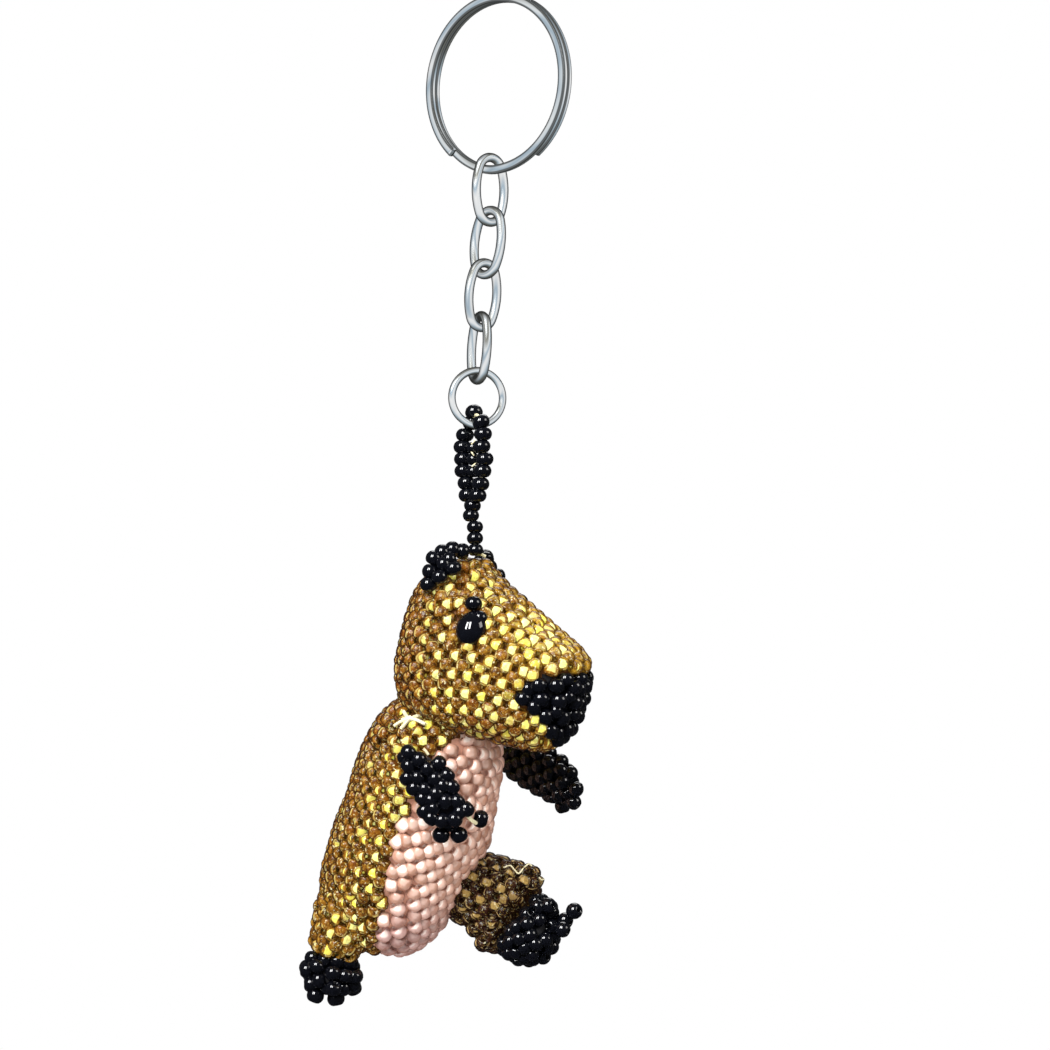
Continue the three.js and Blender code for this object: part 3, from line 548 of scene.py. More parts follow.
class Graph:
    """The node tree of a material or world, emptied and ready to build."""

    def __init__(self, owner):
        owner.use_nodes = True
        self.tree = owner.node_tree
        self.tree.nodes.clear()

    def node(self, kind, inputs={}, **settings):
        node = self.tree.nodes.new("ShaderNode" + kind)
        for key, setting in settings.items():
            setattr(node, key, setting)
        for key, entry in inputs.items():
            if isinstance(entry, Value):
                self.tree.links.new(entry.socket, node.inputs[key])
            else:
                node.inputs[key].default_value = (
                    (*entry, 1.0) if isinstance(entry, tuple) else entry)
        return node

    def value(self, kind, output=0, inputs={}, **settings):
        return Value(self, self.node(kind, inputs, **settings).outputs[output])

    def math(self, operation, *terms):
        return self.value("Math", 0, dict(enumerate(terms)), operation=operation)

    def mix(self, first, second, factor):
        return self.value("Mix", 2, {0: factor, 6: first, 7: second}, data_type="RGBA")

    def noise(self, scale, detail=2.0, roughness=0.5):
        return self.value("TexNoise", "Fac", {
            "Scale": scale, "Detail": detail, "Roughness": roughness,
            "Vector": self.value("TexCoord", "Object")})

    def separate(self, vector):
        return [Value(self, s) for s in self.node("SeparateXYZ", {0: vector}).outputs]

    def ramp(self, value, stops):
        node = self.node("ValToRGB", {0: value})
        elements = node.color_ramp.elements
        while len(elements) < len(stops):
            elements.new(0.5)
        for element, (position, color) in zip(elements, stops):
            element.position = position
            element.color = (*color, 1)
        return Value(self, node.outputs[0])

    def facing(self):
        """1 where the surface faces the viewer, 0 at its outline."""
        geometry = self.node("NewGeometry")
        return abs(self.value("VectorMath", "Value", {
            0: Value(self, geometry.outputs["Normal"]),
            1: Value(self, geometry.outputs["Incoming"])}, operation="DOT_PRODUCT"))

    def surface(self, inputs):
        self.node("OutputMaterial", {0: self.value("BsdfPrincipled", 0, inputs)})


def new_material(name):
    material = bpy.data.materials.new(name)
    return material, Graph(material)


def bead_look(g):
    """What add_beads stored: chances, family, place along the bead, level of painted light and
    warmth.
    """
    chance, family, along = g.separate(g.value("Attribute", "Vector", attribute_name="bead"))
    tone, chance2, warm = g.separate(g.value("Attribute", "Vector", attribute_name="look"))
    return SimpleNamespace(chance=chance, family=family, along=along, tone=tone,
                           chance2=chance2, warm=warm, facing=g.facing())


# ---------------------------------------------------------------- materials
def gold_material(name="silver_lined_gold", red=0.0):
    """Amber glass over a bright lining: a pale core in each bead, brown glass round it.
    The pale core is the silver lining drawn as a painted reflection, and the beads glow
    with painted light; the families, the level of painted light and warm add painted
    light and shade.

    red runs from gold at 0 to dark red-brown at 1: the gold darkened as painted shade.
    """
    material, g = new_material(name)
    q = bead_look(g)
    facing, axial = q.facing, abs(q.along)
    fine = g.noise(scale=1500, detail=3, roughness=0.6)
    cloud = g.noise(scale=1350, detail=3, roughness=0.65)
    ragged = (g.noise(scale=1100, roughness=0.6) - 0.5) * 0.26
    # the warmest beads, lit most by the painted light, show a wider painted core
    ridge = q.warm.step(low=0.62, high=0.90)
    seen = facing + ragged + ridge * 0.20
    ends = 1.0 - (axial + ragged).step(low=0.50, high=0.66)
    core = seen.step(low=0.765, high=0.855) * ends
    # broken line of painted highlight round the core
    band = facing.step(low=0.50, high=0.60) * (1.0 - facing.step(low=0.66, high=0.78))
    outline = band * (1.0 - axial.step(low=0.80, high=0.92))
    outline = outline * g.noise(scale=900, detail=1).step(low=0.50, high=0.60)
    # how brightly the lining's painted reflection shows: by family, the second family in painted
    # shade, then broken up, then by the level of painted light
    broken = fine.step(low=0.36, high=0.50)
    first_family = 1.0 - q.family
    second_family = q.family * (q.chance2.step(low=0.80, high=0.90) + ridge * 0.7)
    lit = core * (first_family * 0.98 + second_family * 0.60)
    lit = lit * (broken * 0.32 + 0.70)
    lit = lit * (q.tone * 0.66 + 0.40)
    lit = g.math("MINIMUM", lit * (1.0 - 0.22 * red), 1.0)
    # glass colours: outline, deep and glowing parts, each from cool to warm, where warm carries
    # painted light by place; the dark outline is partly the longer path through the glass and
    # partly painted shade
    dim = 1.0 - 0.84 * red
    rim = g.mix((0.016, 0.0045, 0.0016), (0.13, 0.050, 0.005), factor=q.warm)
    deep = g.mix((0.022 * dim, 0.0055 * dim, 0.0018), (0.21 * dim, 0.092 * dim, 0.007),
                 factor=q.warm)
    glow = g.mix((0.25 * dim, 0.082 * dim, 0.006), (0.60 * dim, 0.36 * dim, 0.024),
                 factor=q.warm)
    glass = g.mix(deep, glow, factor=cloud.step(low=0.40, high=0.60))
    # the second family's glass darker: painted shade
    glass = g.mix(glass, (0.10 * dim, 0.022 * dim, 0.003), factor=q.family * 0.30)
    glass = g.mix(glass, (0.27 * dim, 0.080 * dim, 0.006),
                  factor=q.chance.step(low=0.60, high=0.95) * (q.family * 0.45))
    shade = g.mix(rim, glass, factor=facing.step(low=0.12, high=0.78))
    # lining colour, duller where the level of painted light is low
    yellow = g.mix((0.80, 0.76, 0.085), (0.93, 0.98, 0.36), factor=q.chance)
    yellow = g.mix(yellow, (0.56, 0.42 - 0.10 * red, 0.045), factor=(1.0 - q.tone) * 0.7)
    yellow = g.mix(yellow, (0.68, 0.40, 0.13), factor=0.8 * red)
    color = g.mix(shade, yellow, factor=lit)
    color = g.mix(color, (0.88, 0.74 - 0.14 * red, 0.24),
                  factor=outline * (q.family * 0.10 + 0.42))
    # small dull painted glints and finer bright painted glints
    glint = (g.noise(scale=2300, roughness=0.7).step(low=0.60, high=0.68)
             * facing.step(low=0.3, high=0.7))
    dull_glint = (g.noise(scale=3100, roughness=0.7).step(low=0.55, high=0.63)
             * facing.step(low=0.35, high=0.75))
    color = g.mix(color, (0.76, 0.50, 0.09), factor=dull_glint * (0.40 - 0.22 * red))
    color = g.mix(color, (1.0, 0.94, 0.56), factor=glint * (q.tone * 0.55 + 0.25))
    # base colour dimmed and the colour given again as emission: the beads glow with painted light,
    # most in the painted core
    g.surface({
        "Base Color": g.mix(color, (0.0, 0.0, 0.0), factor=0.34),
        "Metallic": 0.0, "Roughness": 0.26, "Specular IOR Level": 0.22,
        "Coat Weight": 0.05, "Coat Roughness": 0.10,
        "Emission Color": color, "Emission Strength": lit * 0.42 + 0.22,
        "Normal": g.value("Bump", 0, {"Strength": 0.45, "Distance": 0.00025, "Height": fine})})
    return material


def pink_material():
    """Pearly pink beads, mauve where warm is low, darker in the second family as painted shade,
    with a painted highlight, a darker painted outline and a slight painted glow.
    """
    material, g = new_material("pearl_pink")
    q = bead_look(g)
    light = g.mix((0.64, 0.385, 0.29), (0.78, 0.50, 0.40), factor=q.chance)
    dark = g.mix((0.34, 0.160, 0.100), (0.46, 0.235, 0.160), factor=q.chance)
    # the second family darker: painted shade on the recessed beads
    pink = g.mix(light, dark, factor=q.family)
    mauve = g.mix((0.38, 0.21, 0.215), (0.23, 0.115, 0.115), factor=q.family)
    glass = g.mix(mauve, pink, factor=q.warm)
    # darker towards each bead's outline: painted shade
    rim = g.mix(glass, (0.27, 0.105, 0.066), factor=0.70)
    color = g.mix(rim, glass, factor=q.facing.step(low=0.22, high=0.84))
    cloud = g.noise(scale=1000, roughness=0.6).step(low=0.30, high=0.65)
    # painted pearly highlight with a ragged edge
    seen = q.facing + (g.noise(scale=1000, roughness=0.6) - 0.5) * 0.16
    pearl = seen.step(low=0.80, high=0.93) * (0.72 - q.family * 0.54)
    color = g.mix(color, (0.95, 0.85, 0.77), factor=pearl * (q.warm * 0.5 + 0.5))
    color = g.mix(color, (0.95, 0.80, 0.72), factor=cloud * 0.10)
    # a slight painted glow
    g.surface({"Base Color": color, "Emission Color": color, "Emission Strength": 0.13,
               "Roughness": 0.30, "Coat Weight": 0.2, "Coat Roughness": 0.14})
    return material


def black_material():
    material, g = new_material("jet_black")
    g.surface({
        "Base Color": g.mix((0.0012, 0.0014, 0.0024), (0.0028, 0.0032, 0.0055),
                            factor=g.noise(scale=900)),
        "Roughness": g.noise(scale=500, detail=1) * 0.05 + 0.04, "IOR": 1.50})
    return material


# Bands of the nickel's painted reflection: (position, colour)
NICKEL_BANDS = [
    (0.0, (0.07, 0.065, 0.05)), (0.16, (0.17, 0.18, 0.17)), (0.28, (0.45, 0.55, 0.62)),
    (0.40, (0.88, 0.92, 0.95)), (0.50, (0.96, 0.97, 0.97)), (0.58, (0.42, 0.53, 0.62)),
    (0.66, (0.84, 0.88, 0.90)), (0.77, (0.22, 0.22, 0.19)), (0.87, (0.76, 0.80, 0.83)),
    (1.0, (0.15, 0.16, 0.16))]


def steel_material():
    """Nickel plate: pale bands of painted reflection, dark with painted shade where the metal
    turns away.
    """
    material, g = new_material("nickel_plate")
    x, _, z = g.separate(g.value("TexCoord", "Reflection"))
    along = z * 0.34 + x * -0.12
    along = along + g.noise(scale=90) * 0.55
    bands = g.ramp(along + 0.22, NICKEL_BANDS)
    # "flat" keeps square-edged wire pale, "corner" darkens its corners with painted shade
    flat = g.value("Attribute", "Fac", attribute_name="flat")
    corner = g.value("Attribute", "Fac", attribute_name="corner")
    edge = (g.facing() + flat * 0.28).step(low=0.40, high=0.94)
    edge = edge * (1.0 - corner.step(low=0.50, high=0.98) * 0.85)
    color = g.mix((0.035, 0.036, 0.034), bands, factor=edge)
    # the painted reflection colour is given as emission over a dark metal base, so the wire glows
    # with it
    g.surface({
        "Metallic": 1.0, "Specular Tint": (0.25, 0.26, 0.27),
        "Roughness": g.noise(scale=700, detail=3, roughness=0.6) * 0.10 + 0.27,
        "Base Color": g.mix(color, (0.0, 0.0, 0.0), factor=0.88),
        "Emission Color": color, "Emission Strength": 0.80})
    return material


def mottled_material(name, low, high, scale, detail, roughness, glow):
    """Two colours mixed by noise, with a little painted glow."""
    material, g = new_material(name)
    color = g.mix(low, high, factor=g.noise(scale=scale, detail=detail))
    g.surface({"Base Color": color, "Roughness": roughness,
               "Emission Color": color, "Emission Strength": glow})
    return material


def lining_material(name, low, high, glow=0.22):
    return mottled_material(name, low, high, scale=700, detail=3, roughness=0.8, glow=glow)


GOLD = gold_material()
PINK = pink_material()
BLACK = black_material()
STEEL = steel_material()
# pale thread with a little painted glow
THREAD = mottled_material("nylon_thread", (0.42, 0.35, 0.17), (0.80, 0.76, 0.54),
                          scale=1800, detail=2, roughness=0.18, glow=0.22)
# the gold darkened to red-brown: a copy in painted shade for the far leg
GOLD_IN_PAINTED_SHADE = gold_material("silver_lined_gold_in_painted_shade", red=1.0)
# dark brown lining: the stuffing, coloured as the painted shade in the gaps between the gold
# beads, with a little painted glow
LINE_GOLD = lining_material("brown_fibre_painted_shade", (0.045, 0.013, 0.003), (0.17, 0.062, 0.009))
# the rose lining glows more: painted light that lifts the shade in the gaps between the pink beads
LINE_PINK = lining_material("fibre_rose", (0.34, 0.15, 0.10), (0.50, 0.27, 0.19), glow=0.55)
LINE_BLACK = lining_material("fibre_black", (0.002, 0.002, 0.003), (0.006, 0.006, 0.008))


# ---------------------------------------------------------------- head
def seed_on(surface, height):
    """Row nearest a height on the right side, and its column facing the viewer."""
    P, N = surface
    row = int(np.argmin(np.abs(P[:, P.shape[1] * 3 // 4, 2] - height)))
    return row, int(np.argmax(N[row] @ TOWARD))


def add_lining(name, grid, replaced, patch_material, in_patch):
    """Brown lining under the beads, with a patch in another material; its dark colour is painted
    shade seen in the gaps between the beads.
    """
    lining = add_piece(name, *grid_mesh(grid), LINE_GOLD, "head" if name == "head_lining"
                       else "torso", "fill", (replaced,))
    lining.data.materials.append(patch_material)
    for polygon in lining.data.polygons:
        if in_patch(np.array(polygon.center) / MM - SHIFT):
            polygon.material_index = 1


P = body_grid(HEAD, HEAD_EGG, BEAD_INSET)
HEAD_SURFACE = P, normals(P)
across, drop = near_place(P)
rise = 15 * ramp(across, -3.753, -7.923) * ramp(drop, 95.354, 91.184)
fall = -ramp(across, -4.448, 1.807) * (14 + 11 * ramp(drop, 93.269, 86.319))
HEAD_STEPS = body_steps(*HEAD_SURFACE, np.where(across < -3.753, rise, fall), beta=86.0,
                        row_step=2.34, column_step=2.42)
head_found = weave(*HEAD_SURFACE, *HEAD_STEPS, *seed_on(HEAD_SURFACE, -92.5))

# Eyes, brows and muzzle are placed first; the weave keeps clear of them.
head_keep_off = []     # (place, radius)


def face_pair(across, drop, lift, diameter, length, axis, keep):
    """A bead on the right side of the face and its mirror image on the left."""
    place, out = nearest_on(HEAD_SURFACE, across, drop, lift)
    axis = np.array(axis, float)
    axis = axis - axis @ out * out * 0.8
    right = Bead(place, axis, out, diameter, length)
    left = Bead(mirror(place), mirror(axis), mirror(out), diameter, length)
    head_keep_off.extend([(place, keep), (left.place, keep)])
    return {"right": right, "left": left}


brow = face_pair(-0.4865, 83.8865, 0.85, 2.5, 1.9, axis=(0, 0, 1), keep=1.3)
big_eye = face_pair(-0.7228, 87.0557, 0.45, 4.2, 5.0, axis=(0.25, -0.15, 1), keep=2.1)
small_eye = face_pair(0.417, 85.763, 0.70, 2.3, 1.9, axis=(0.3, -0.2, 1), keep=1.3)

# Back edge of the dark muzzle: (drop, across)
MUZZLE_TOP = 93.6165
MUZZLE_EDGE = np.array([
    (93.547, 9.591), (94.381, 7.506), (95.354, 5.56), (96.327, 5.004), (97.3, 5.838),
    (98.412, 7.228), (99.802, 8.757), (101.609, 10.008), (103.416, 11.537)])
# Muzzle beads: (across, drop, whether the hole is upright)
MUZZLE_SPOTS = [
    (8.5485, 94.659, True), (10.981, 94.7285, True), (13.344, 94.937, True),
    (15.012, 95.215, True), (6.394, 96.5355, True), (8.896, 96.605, True),
    (11.3285, 96.8135, True), (13.4135, 97.022, True), (14.734, 97.161, False),
    (7.923, 97.717, False), (9.452, 98.968, False), (11.7455, 99.107, False),
    (13.483, 99.1765, True), (10.147, 100.914, False), (12.232, 100.775, False),
    (10.981, 102.165, True)]


def in_muzzle(points):
    across, drop = near_place(points)
    return (drop > MUZZLE_TOP) & (across > np.interp(drop, *MUZZLE_EDGE.T))


muzzle_beads = []
for across, drop, upright in MUZZLE_SPOTS:
    place, out = nearest_on(HEAD_SURFACE, across, drop, 0.1)
    if place[0] > 0.2:
        continue
    axis = UP if upright else np.cross(out, (0, 0, 1))
    for spot in ((place, axis, out), (mirror(place), mirror(axis), mirror(out))):
        if any(np.linalg.norm(spot[0] - bead.place) < 1.3 for bead in muzzle_beads):
            continue
        muzzle_beads.append(Bead(*spot, 2.5, 2.0))
        head_keep_off.append((spot[0], 1.35))

# Bare spots of the muzzle are filled, the widest first.
points, outs = (part.reshape(-1, 3) for part in HEAD_SURFACE)
dark = in_muzzle(points)
near = np.full(len(points), 1e9)
for bead in muzzle_beads:
    near = np.minimum(near, np.linalg.norm(points - bead.place, axis=1))
for _ in range(150):
    k = int(np.argmax(np.where(dark, near, 0)))
    if near[k] < 1.42 or not dark[k]:
        break
    axis = np.cross(outs[k], (0.3, 0.2, 1)) if rng.random() < 0.5 else UP
    muzzle_beads.append(Bead(points[k], axis, outs[k], 2.3, 1.8))
    head_keep_off.append((points[k], 1.3))
    near = np.minimum(near, np.linalg.norm(points - points[k], axis=1))

head_beads = []
for knot in settle(head_found, *HEAD_SURFACE, *HEAD_STEPS, head_keep_off, least=1.2, cover=1.36):
    if in_muzzle(knot.place):
        muzzle_beads.append(knot_bead(knot, 2.3, 1.8))
        continue
    across, drop = near_place(knot.place)
    # painted light and shade over the head: lighter at the front, darker at the back, towards the
    # bottom and at the neck
    front = ramp(across, -0.973, 7.367) * ramp(drop, 95.354, 88.404)
    low = ramp(drop, 96.744, 100.219)
    back = ramp(across, -4.448, -9.313)
    neck = (ramp(drop, 97.856, 99.802) * ramp(across, 6.672, 5.004)
            * ramp(across, -6.533, -3.753))
    tone = 0.74 + 0.35 * front - 0.42 * back - 0.08 * low - 0.40 * neck
    warm = 0.20 + 0.72 * front - 0.18 * back - 0.07 * low - 0.10 * neck
    head_beads.append(knot_bead(knot, 2.16 + 0.08 * rng.random(), 1.70 + 0.08 * rng.random(),
                                tone=np.clip(tone, 0, 1), warm=np.clip(warm, 0, 1)))
# Three extra beads on each side: (across, drop, family)
for across, drop, family in ((5.7685, 94.4505, 1), (7.645, 93.269, 0), (-3.197, 88.0565, 1)):
    place, out = nearest_on(HEAD_SURFACE, across, drop)
    for p, n in ((place, out), (mirror(place), mirror(out))):
        axis = np.cross(n, (0, 0, 1)) if family else UP
        head_beads.append(Bead(p, axis, n, 2.2, 1.75, family, tone=0.7, warm=0.5))
add_beads("head_gold_beads", head_beads, GOLD, "head", "gold_bead", ("head_shell",))
black_beads("muzzle_beads", muzzle_beads, "head", "muzzle")

EYE_HALF_LENGTH, EYE_HALF_DEPTH, EYE_HALF_WIDTH = 2.52, 1.75, 2.12
EYE_RINGS, EYE_AROUND = 21, 32


def add_big_eye(side):
    """An ellipsoid with a small flat at each end."""
    bead = big_eye[side]
    z = unit(bead.axis)
    x = unit(bead.out - bead.out @ z * z)
    y = np.cross(z, x)
    vertices = []
    for i in range(EYE_RINGS):
        a = math.pi * (i + 0.15) / 20.3
        for j in range(EYE_AROUND):
            t = 2 * math.pi * j / EYE_AROUND
            spoke = x * EYE_HALF_DEPTH * math.cos(t) + y * EYE_HALF_WIDTH * math.sin(t)
            vertices.append(bead.place + z * EYE_HALF_LENGTH * math.cos(a)
                            + math.sin(a) * spoke)
    faces = [(a, d, c, b) for a, b, c, d in tube_sides(EYE_RINGS, EYE_AROUND)]
    faces += [cap[::-1] for cap in tube_caps(EYE_RINGS, EYE_AROUND)]
    add_piece(f"{side}_eye_large_bead", vertices, faces, BLACK, "head", "black_bead",
              (f"{side}_eye",))


for side in ("right", "left"):
    add_big_eye(side)
    black_beads(f"{side}_eye_small_bead", [small_eye[side]], "head")
    black_beads(f"{side}_brow_bead_black", [brow[side]], "head", f"{side}_brow_bead")
add_lining("head_lining", body_grid(HEAD, HEAD_EGG, BEAD_INSET + 0.50, around=60, rows=40),
           "head_stuffing", LINE_BLACK, in_muzzle)

# Right ear: (across, drop, toward); the first six beads run along its edge
EAR_EDGE = 6
EAR = [
    (-2.0155, 76.1025, 3.2), (-3.4055, 75.8245, 3.9), (-4.7955, 76.2415, 4.1),
    (-5.977, 77.0755, 4.4), (-6.4635, 78.8825, 4.9), (-6.7415, 80.6895, 5.3),
    (-3.2665, 78.4655, 5.7), (-4.6565, 77.9095, 5.3), (-5.2125, 79.647, 5.9),
    (-3.8225, 77.2145, 4.7)]
right_ear, left_ear = [], []
for k, spot in enumerate(EAR):
    if k < EAR_EDGE:
        before, after = EAR[max(k - 1, 0)], EAR[min(k + 1, EAR_EDGE - 1)]
        axis = at_depth(*after[:2], 4) - at_depth(*before[:2], 4)
    else:
        axis = ACROSS * (0.9 if k % 2 else 0.2) + UP * (0.3 if k % 2 else -0.9)
    bead = Bead(at_depth(*spot), unit(axis), TOWARD + 0.3 * UP, 2.35, 1.9)
    right_ear.append(bead)
    left_axis = mirror(bead.axis) if k < EAR_EDGE else (0.35, 0.1, 1.0)
    left_ear.append(bead._replace(place=mirror(bead.place) + np.array([0.0, 0.7, -1.2]),
                                  axis=left_axis, out=mirror(bead.out)))
black_beads("right_ear_beads", right_ear, "head", "right_ear")
black_beads("left_ear_beads", left_ear, "head", "left_ear")

# ---------------------------------------------------------------- torso
# Back edge of the pink belly: (drop, across)
PINK_EDGE = np.array([
    (101.609, -0.973), (101.887, -2.641), (102.443, -3.475), (103.138, -4.309),
    (111.1305, -9.452), (113.841, -10.842), (115.37, -11.398), (117.733, -11.954),
    (120.513, -12.649), (122.459, -12.232), (125.239, -12.649), (128.019, -13.205),
    (130.521, -13.9), (132.884, -14.595)])
EDGE_OVERLAP = 0.4865      # both weaves reach this far to either side of the edge


def in_pink(points, shift=0.0):
    across, drop = near_place(points)
    return (drop > PINK_EDGE[0, 0]) & (across > np.interp(drop, *PINK_EDGE.T) + shift)


P = body_grid(TORSO, TORSO_EGG, BEAD_INSET)
TORSO_SURFACE = P, normals(P)
drop = near_place(P)[1]
gold_steps = body_steps(*TORSO_SURFACE, np.zeros_like(drop), beta=76.0,
                        row_step=2.32, column_step=2.40)
gold_row, torso_column = seed_on(TORSO_SURFACE, -115)
gold_found = [knot for knot in weave(*TORSO_SURFACE, *gold_steps, gold_row, torso_column)
              if not in_pink(knot.place, -EDGE_OVERLAP)]
slope = -(40 + 8 * ramp(drop, 107.864, 116.204)) * ramp(drop, 98.829, 102.999)
pink_steps = body_steps(*TORSO_SURFACE, slope, beta=114.0, row_step=2.26, column_step=2.46)
pink_row, _ = seed_on(TORSO_SURFACE, -118)
pink_found = [knot for knot in weave(*TORSO_SURFACE, *pink_steps, pink_row, torso_column)
              if in_pink(knot.place, EDGE_OVERLAP)]
pink_kept = []
for knot in sorted(pink_found, key=lambda f: -f.mass):
    if knot.mass > LEAST_MASS and all(
            np.linalg.norm(knot.place - other.place) > 1.25 for other in pink_kept):
        pink_kept.append(knot)
torso_kept = settle(gold_found, *TORSO_SURFACE, *gold_steps,
                    [(knot.place, 1.35) for knot in pink_kept])
gold_beads, pink_beads = [], []
for knot in pink_kept:
    across, drop = near_place(knot.place)
    warm = 1.0 - 0.75 * ramp(drop, 122.459, 129.409) - 0.35 * ramp(across, 0.417, 3.892)
    pink_beads.append(knot_bead(knot, 2.28 + 0.06 * rng.random(), 1.76, warm=warm))
for knot in torso_kept:
    if in_pink(knot.place):
        pink_beads.append(knot_bead(knot, 2.25, 1.74, warm=0.9))
        continue
    across, drop = near_place(knot.place)
    # gold darker and cooler towards the back, away from the pink belly: painted shade
    back = ramp(across - np.interp(drop, *PINK_EDGE.T), -6.255, -11.815)
    gold_beads.append(knot_bead(knot, 2.14 + 0.08 * rng.random(), 1.68 + 0.08 * rng.random(),
                                tone=0.92 - 0.36 * back, warm=0.15 - 0.12 * back))
add_beads("torso_gold_beads", gold_beads, GOLD, "torso", "gold_bead", ("torso_shell",))
add_beads("belly_pink_beads", pink_beads, PINK, "torso", "pink_bead", ("belly_panel",))
add_lining("torso_lining", body_grid(TORSO, TORSO_EGG, BEAD_INSET + 0.45, around=72, rows=50),
           "torso_stuffing", LINE_PINK, lambda point: in_pink(point, -0.278))

# ---------------------------------------------------------------- limbs
ARM_INSET, LEG_INSET, FOOT_INSET = 0.9, 0.95, 0.9
RIGHTWARD, LEFTWARD = np.array([-1.0, 0, 0]), np.array([1.0, 0, 0])
RIGHT_FORWARD, LEFT_FORWARD = np.array([-0.866, -0.5, 0]), np.array([0.866, -0.5, 0])
SPOT_KEEP, TIP_KEEP = 1.45, 1.5    # room the weave leaves round placed beads and tips


def weave_limb(table, outward, inset, keep_off=(), seed=TOWARD):
    """Settled knots of a limb and its surface; the weave starts where it faces seed."""
    P = limb_grid(table, outward, inset)
    N = normals(P)
    A, B = limb_steps(P, N, unit(np.array(table[-1][:3]) - np.array(table[0][:3])))
    row = len(P) // 2
    found = weave(P, N, A, B, row, int(np.argmax(N[row] @ seed)), rounds=40)
    return settle(found, P, N, A, B, keep_off), (P, N)


def add_core(name, table, outward, inset, body, material=LINE_BLACK, slot="black_bead"):
    """Dark core that closes the gaps between a limb's beads; its dark colour is painted shade in
    the gaps.
    """
    add_piece(name, *grid_mesh(limb_grid(table, outward, inset, around=24, rows=20)),
              material, body, slot)


# Right arm beads: (across, drop)
ARM_SPOTS = [
    (-9.4798, 104.0415), (-8.0759, 105.0145), (-6.8805, 106.2655), (-5.3515, 105.5705),
    (-9.5076, 105.918), (-5.8241, 107.6694), (-4.17, 107.169), (-9.6605, 107.586),
    (-8.2705, 107.5165), (-8.757, 108.976), (-7.228, 109.115), (-4.7955, 108.6285),
    (-3.475, 108.7675), (-5.699, 109.7405), (-7.5755, 110.4355), (-4.3785, 110.783),
    (-2.78, 110.783), (-6.0465, 111.756), (-1.4595, 111.895), (-4.865, 113.5213),
    (-3.1275, 113.3545), (-7.2975, 112.173), (-6.394, 110.644), (-2.363, 112.312),
    (-6.394, 113.146)]
ARM_MIDDLE = -5.838, 108.837
ARM_HALF_WIDTH = 4.726
arm_down = np.array([0.35, -0.6, -0.7])
arm_beads, keep_off = [], []
for k, (across, drop) in enumerate(ARM_SPOTS):
    off_line = abs((across - ARM_MIDDLE[0]) * 0.86 - (drop - ARM_MIDDLE[1]) * 0.5)
    fullness = min(1.0, max(0.0, 1 - off_line / ARM_HALF_WIDTH))
    axis = unit(arm_down if k % 2 else np.cross(RIGHT_FORWARD, arm_down))
    for side in (1, -1):
        place = at_depth(across, drop, 9.6 + side * (0.55 + 1.0 * fullness))
        arm_beads.append(Bead(place, axis, RIGHT_FORWARD * side, 2.32, 1.9))
        keep_off.append((place, SPOT_KEEP))
kept, _ = weave_limb(RIGHT_ARM, RIGHT_FORWARD, ARM_INSET, keep_off)
for knot in kept:
    across, drop, _ = view_place(knot.place)
    # woven beads stay only close to a placed one
    if min(math.hypot(across - x, drop - y) for x, y in ARM_SPOTS) < 1.0425:
        arm_beads.append(knot_bead(knot, 2.2, 1.7))
black_beads("right_arm_beads", arm_beads, "arm_right", "right_arm")
add_core("right_arm_core", RIGHT_ARM, RIGHT_FORWARD, 1.5, "arm_right")
kept, _ = weave_limb(LEFT_ARM, LEFT_FORWARD, ARM_INSET, seed=UP)
black_beads("left_arm_beads", [knot_bead(knot, 2.35, 1.85) for knot in kept],
            "arm_left", "left_arm")
add_core("left_arm_core", LEFT_ARM, LEFT_FORWARD, 1.5, "arm_left")

# Fingers and toes: name, (across, drop, toward), diameter, axis
TIPS = [
    ("right_finger_1", (0.4865, 113.285, 8.1), 2.5, (0.5, -0.8, -0.2)),
    ("right_finger_2", (-5.004, 115.509, 9.1), 2.45, (0.2, 0.1, -1)),
    ("right_finger_3", (-2.502, 115.509, 9.0), 2.45, (0.3, -0.3, -1)),
    ("left_finger_1", (11.8845, 111.478, -8.8), 2.2, (0, -0.3, -1)),
    ("left_finger_2", (13.761, 109.115, -3.7), 2.2, (0, -0.3, 1)),
    ("left_finger_3", (13.4135, 110.922, -4.9), 2.2, (0, -0.8, -0.6)),
    ("right_toe_1", (-22.4485, 137.8185, -4.1), 2.5, (-0.3, 0.3, -1)),
    ("right_toe_2", (-19.599, 138.2355, -4.7), 2.5, (0, -0.2, -1)),
    ("right_toe_3", (-17.1665, 136.776, -8.4), 2.4, (0.3, -0.3, -1)),
    ("left_toe_1", (12.2459, 127.4213, -0.9), 2.3, (0, -1, -0.3)),
    ("left_toe_2", (13.5247, 126.073, 0.6), 2.3, (-0.2, -1, 0.2)),
    ("left_toe_3", (11.8845, 128.6445, 0.7), 2.2, (0, -1, -0.4)),
]
toes = {"right": [], "left": []}
for name, spot, diameter, axis in TIPS:
    side, part, _ = name.split("_")
    place = at_depth(*spot)
    if part == "toe":
        toes[side].append((place, TIP_KEEP))
    body = ("arm_" if part == "finger" else "leg_") + side
    black_beads(name + "_bead", [Bead(place, axis, (-0.5, -0.5, 0.7), diameter, 2.0)], body, name)

LEG_SURFACE = {}
# the far (left) leg gets a low level of painted light and the gold darkened as painted shade
for side, table, outward, material, tone, warm in (
        ("right", RIGHT_LEG, RIGHTWARD, GOLD, 0.6, 0.22),
        ("left", LEFT_LEG, LEFTWARD, GOLD_IN_PAINTED_SHADE, 0.30, 0.0)):
    kept, LEG_SURFACE[side] = weave_limb(table, outward, LEG_INSET)
    add_beads(f"{side}_leg_beads", [knot_bead(knot, 2.15, 1.7, tone, warm) for knot in kept],
              material, f"leg_{side}", "gold_bead", (f"{side}_leg",))
    add_core(f"{side}_leg_core", table, outward, 1.7, f"leg_{side}", LINE_GOLD, "gold_bead")

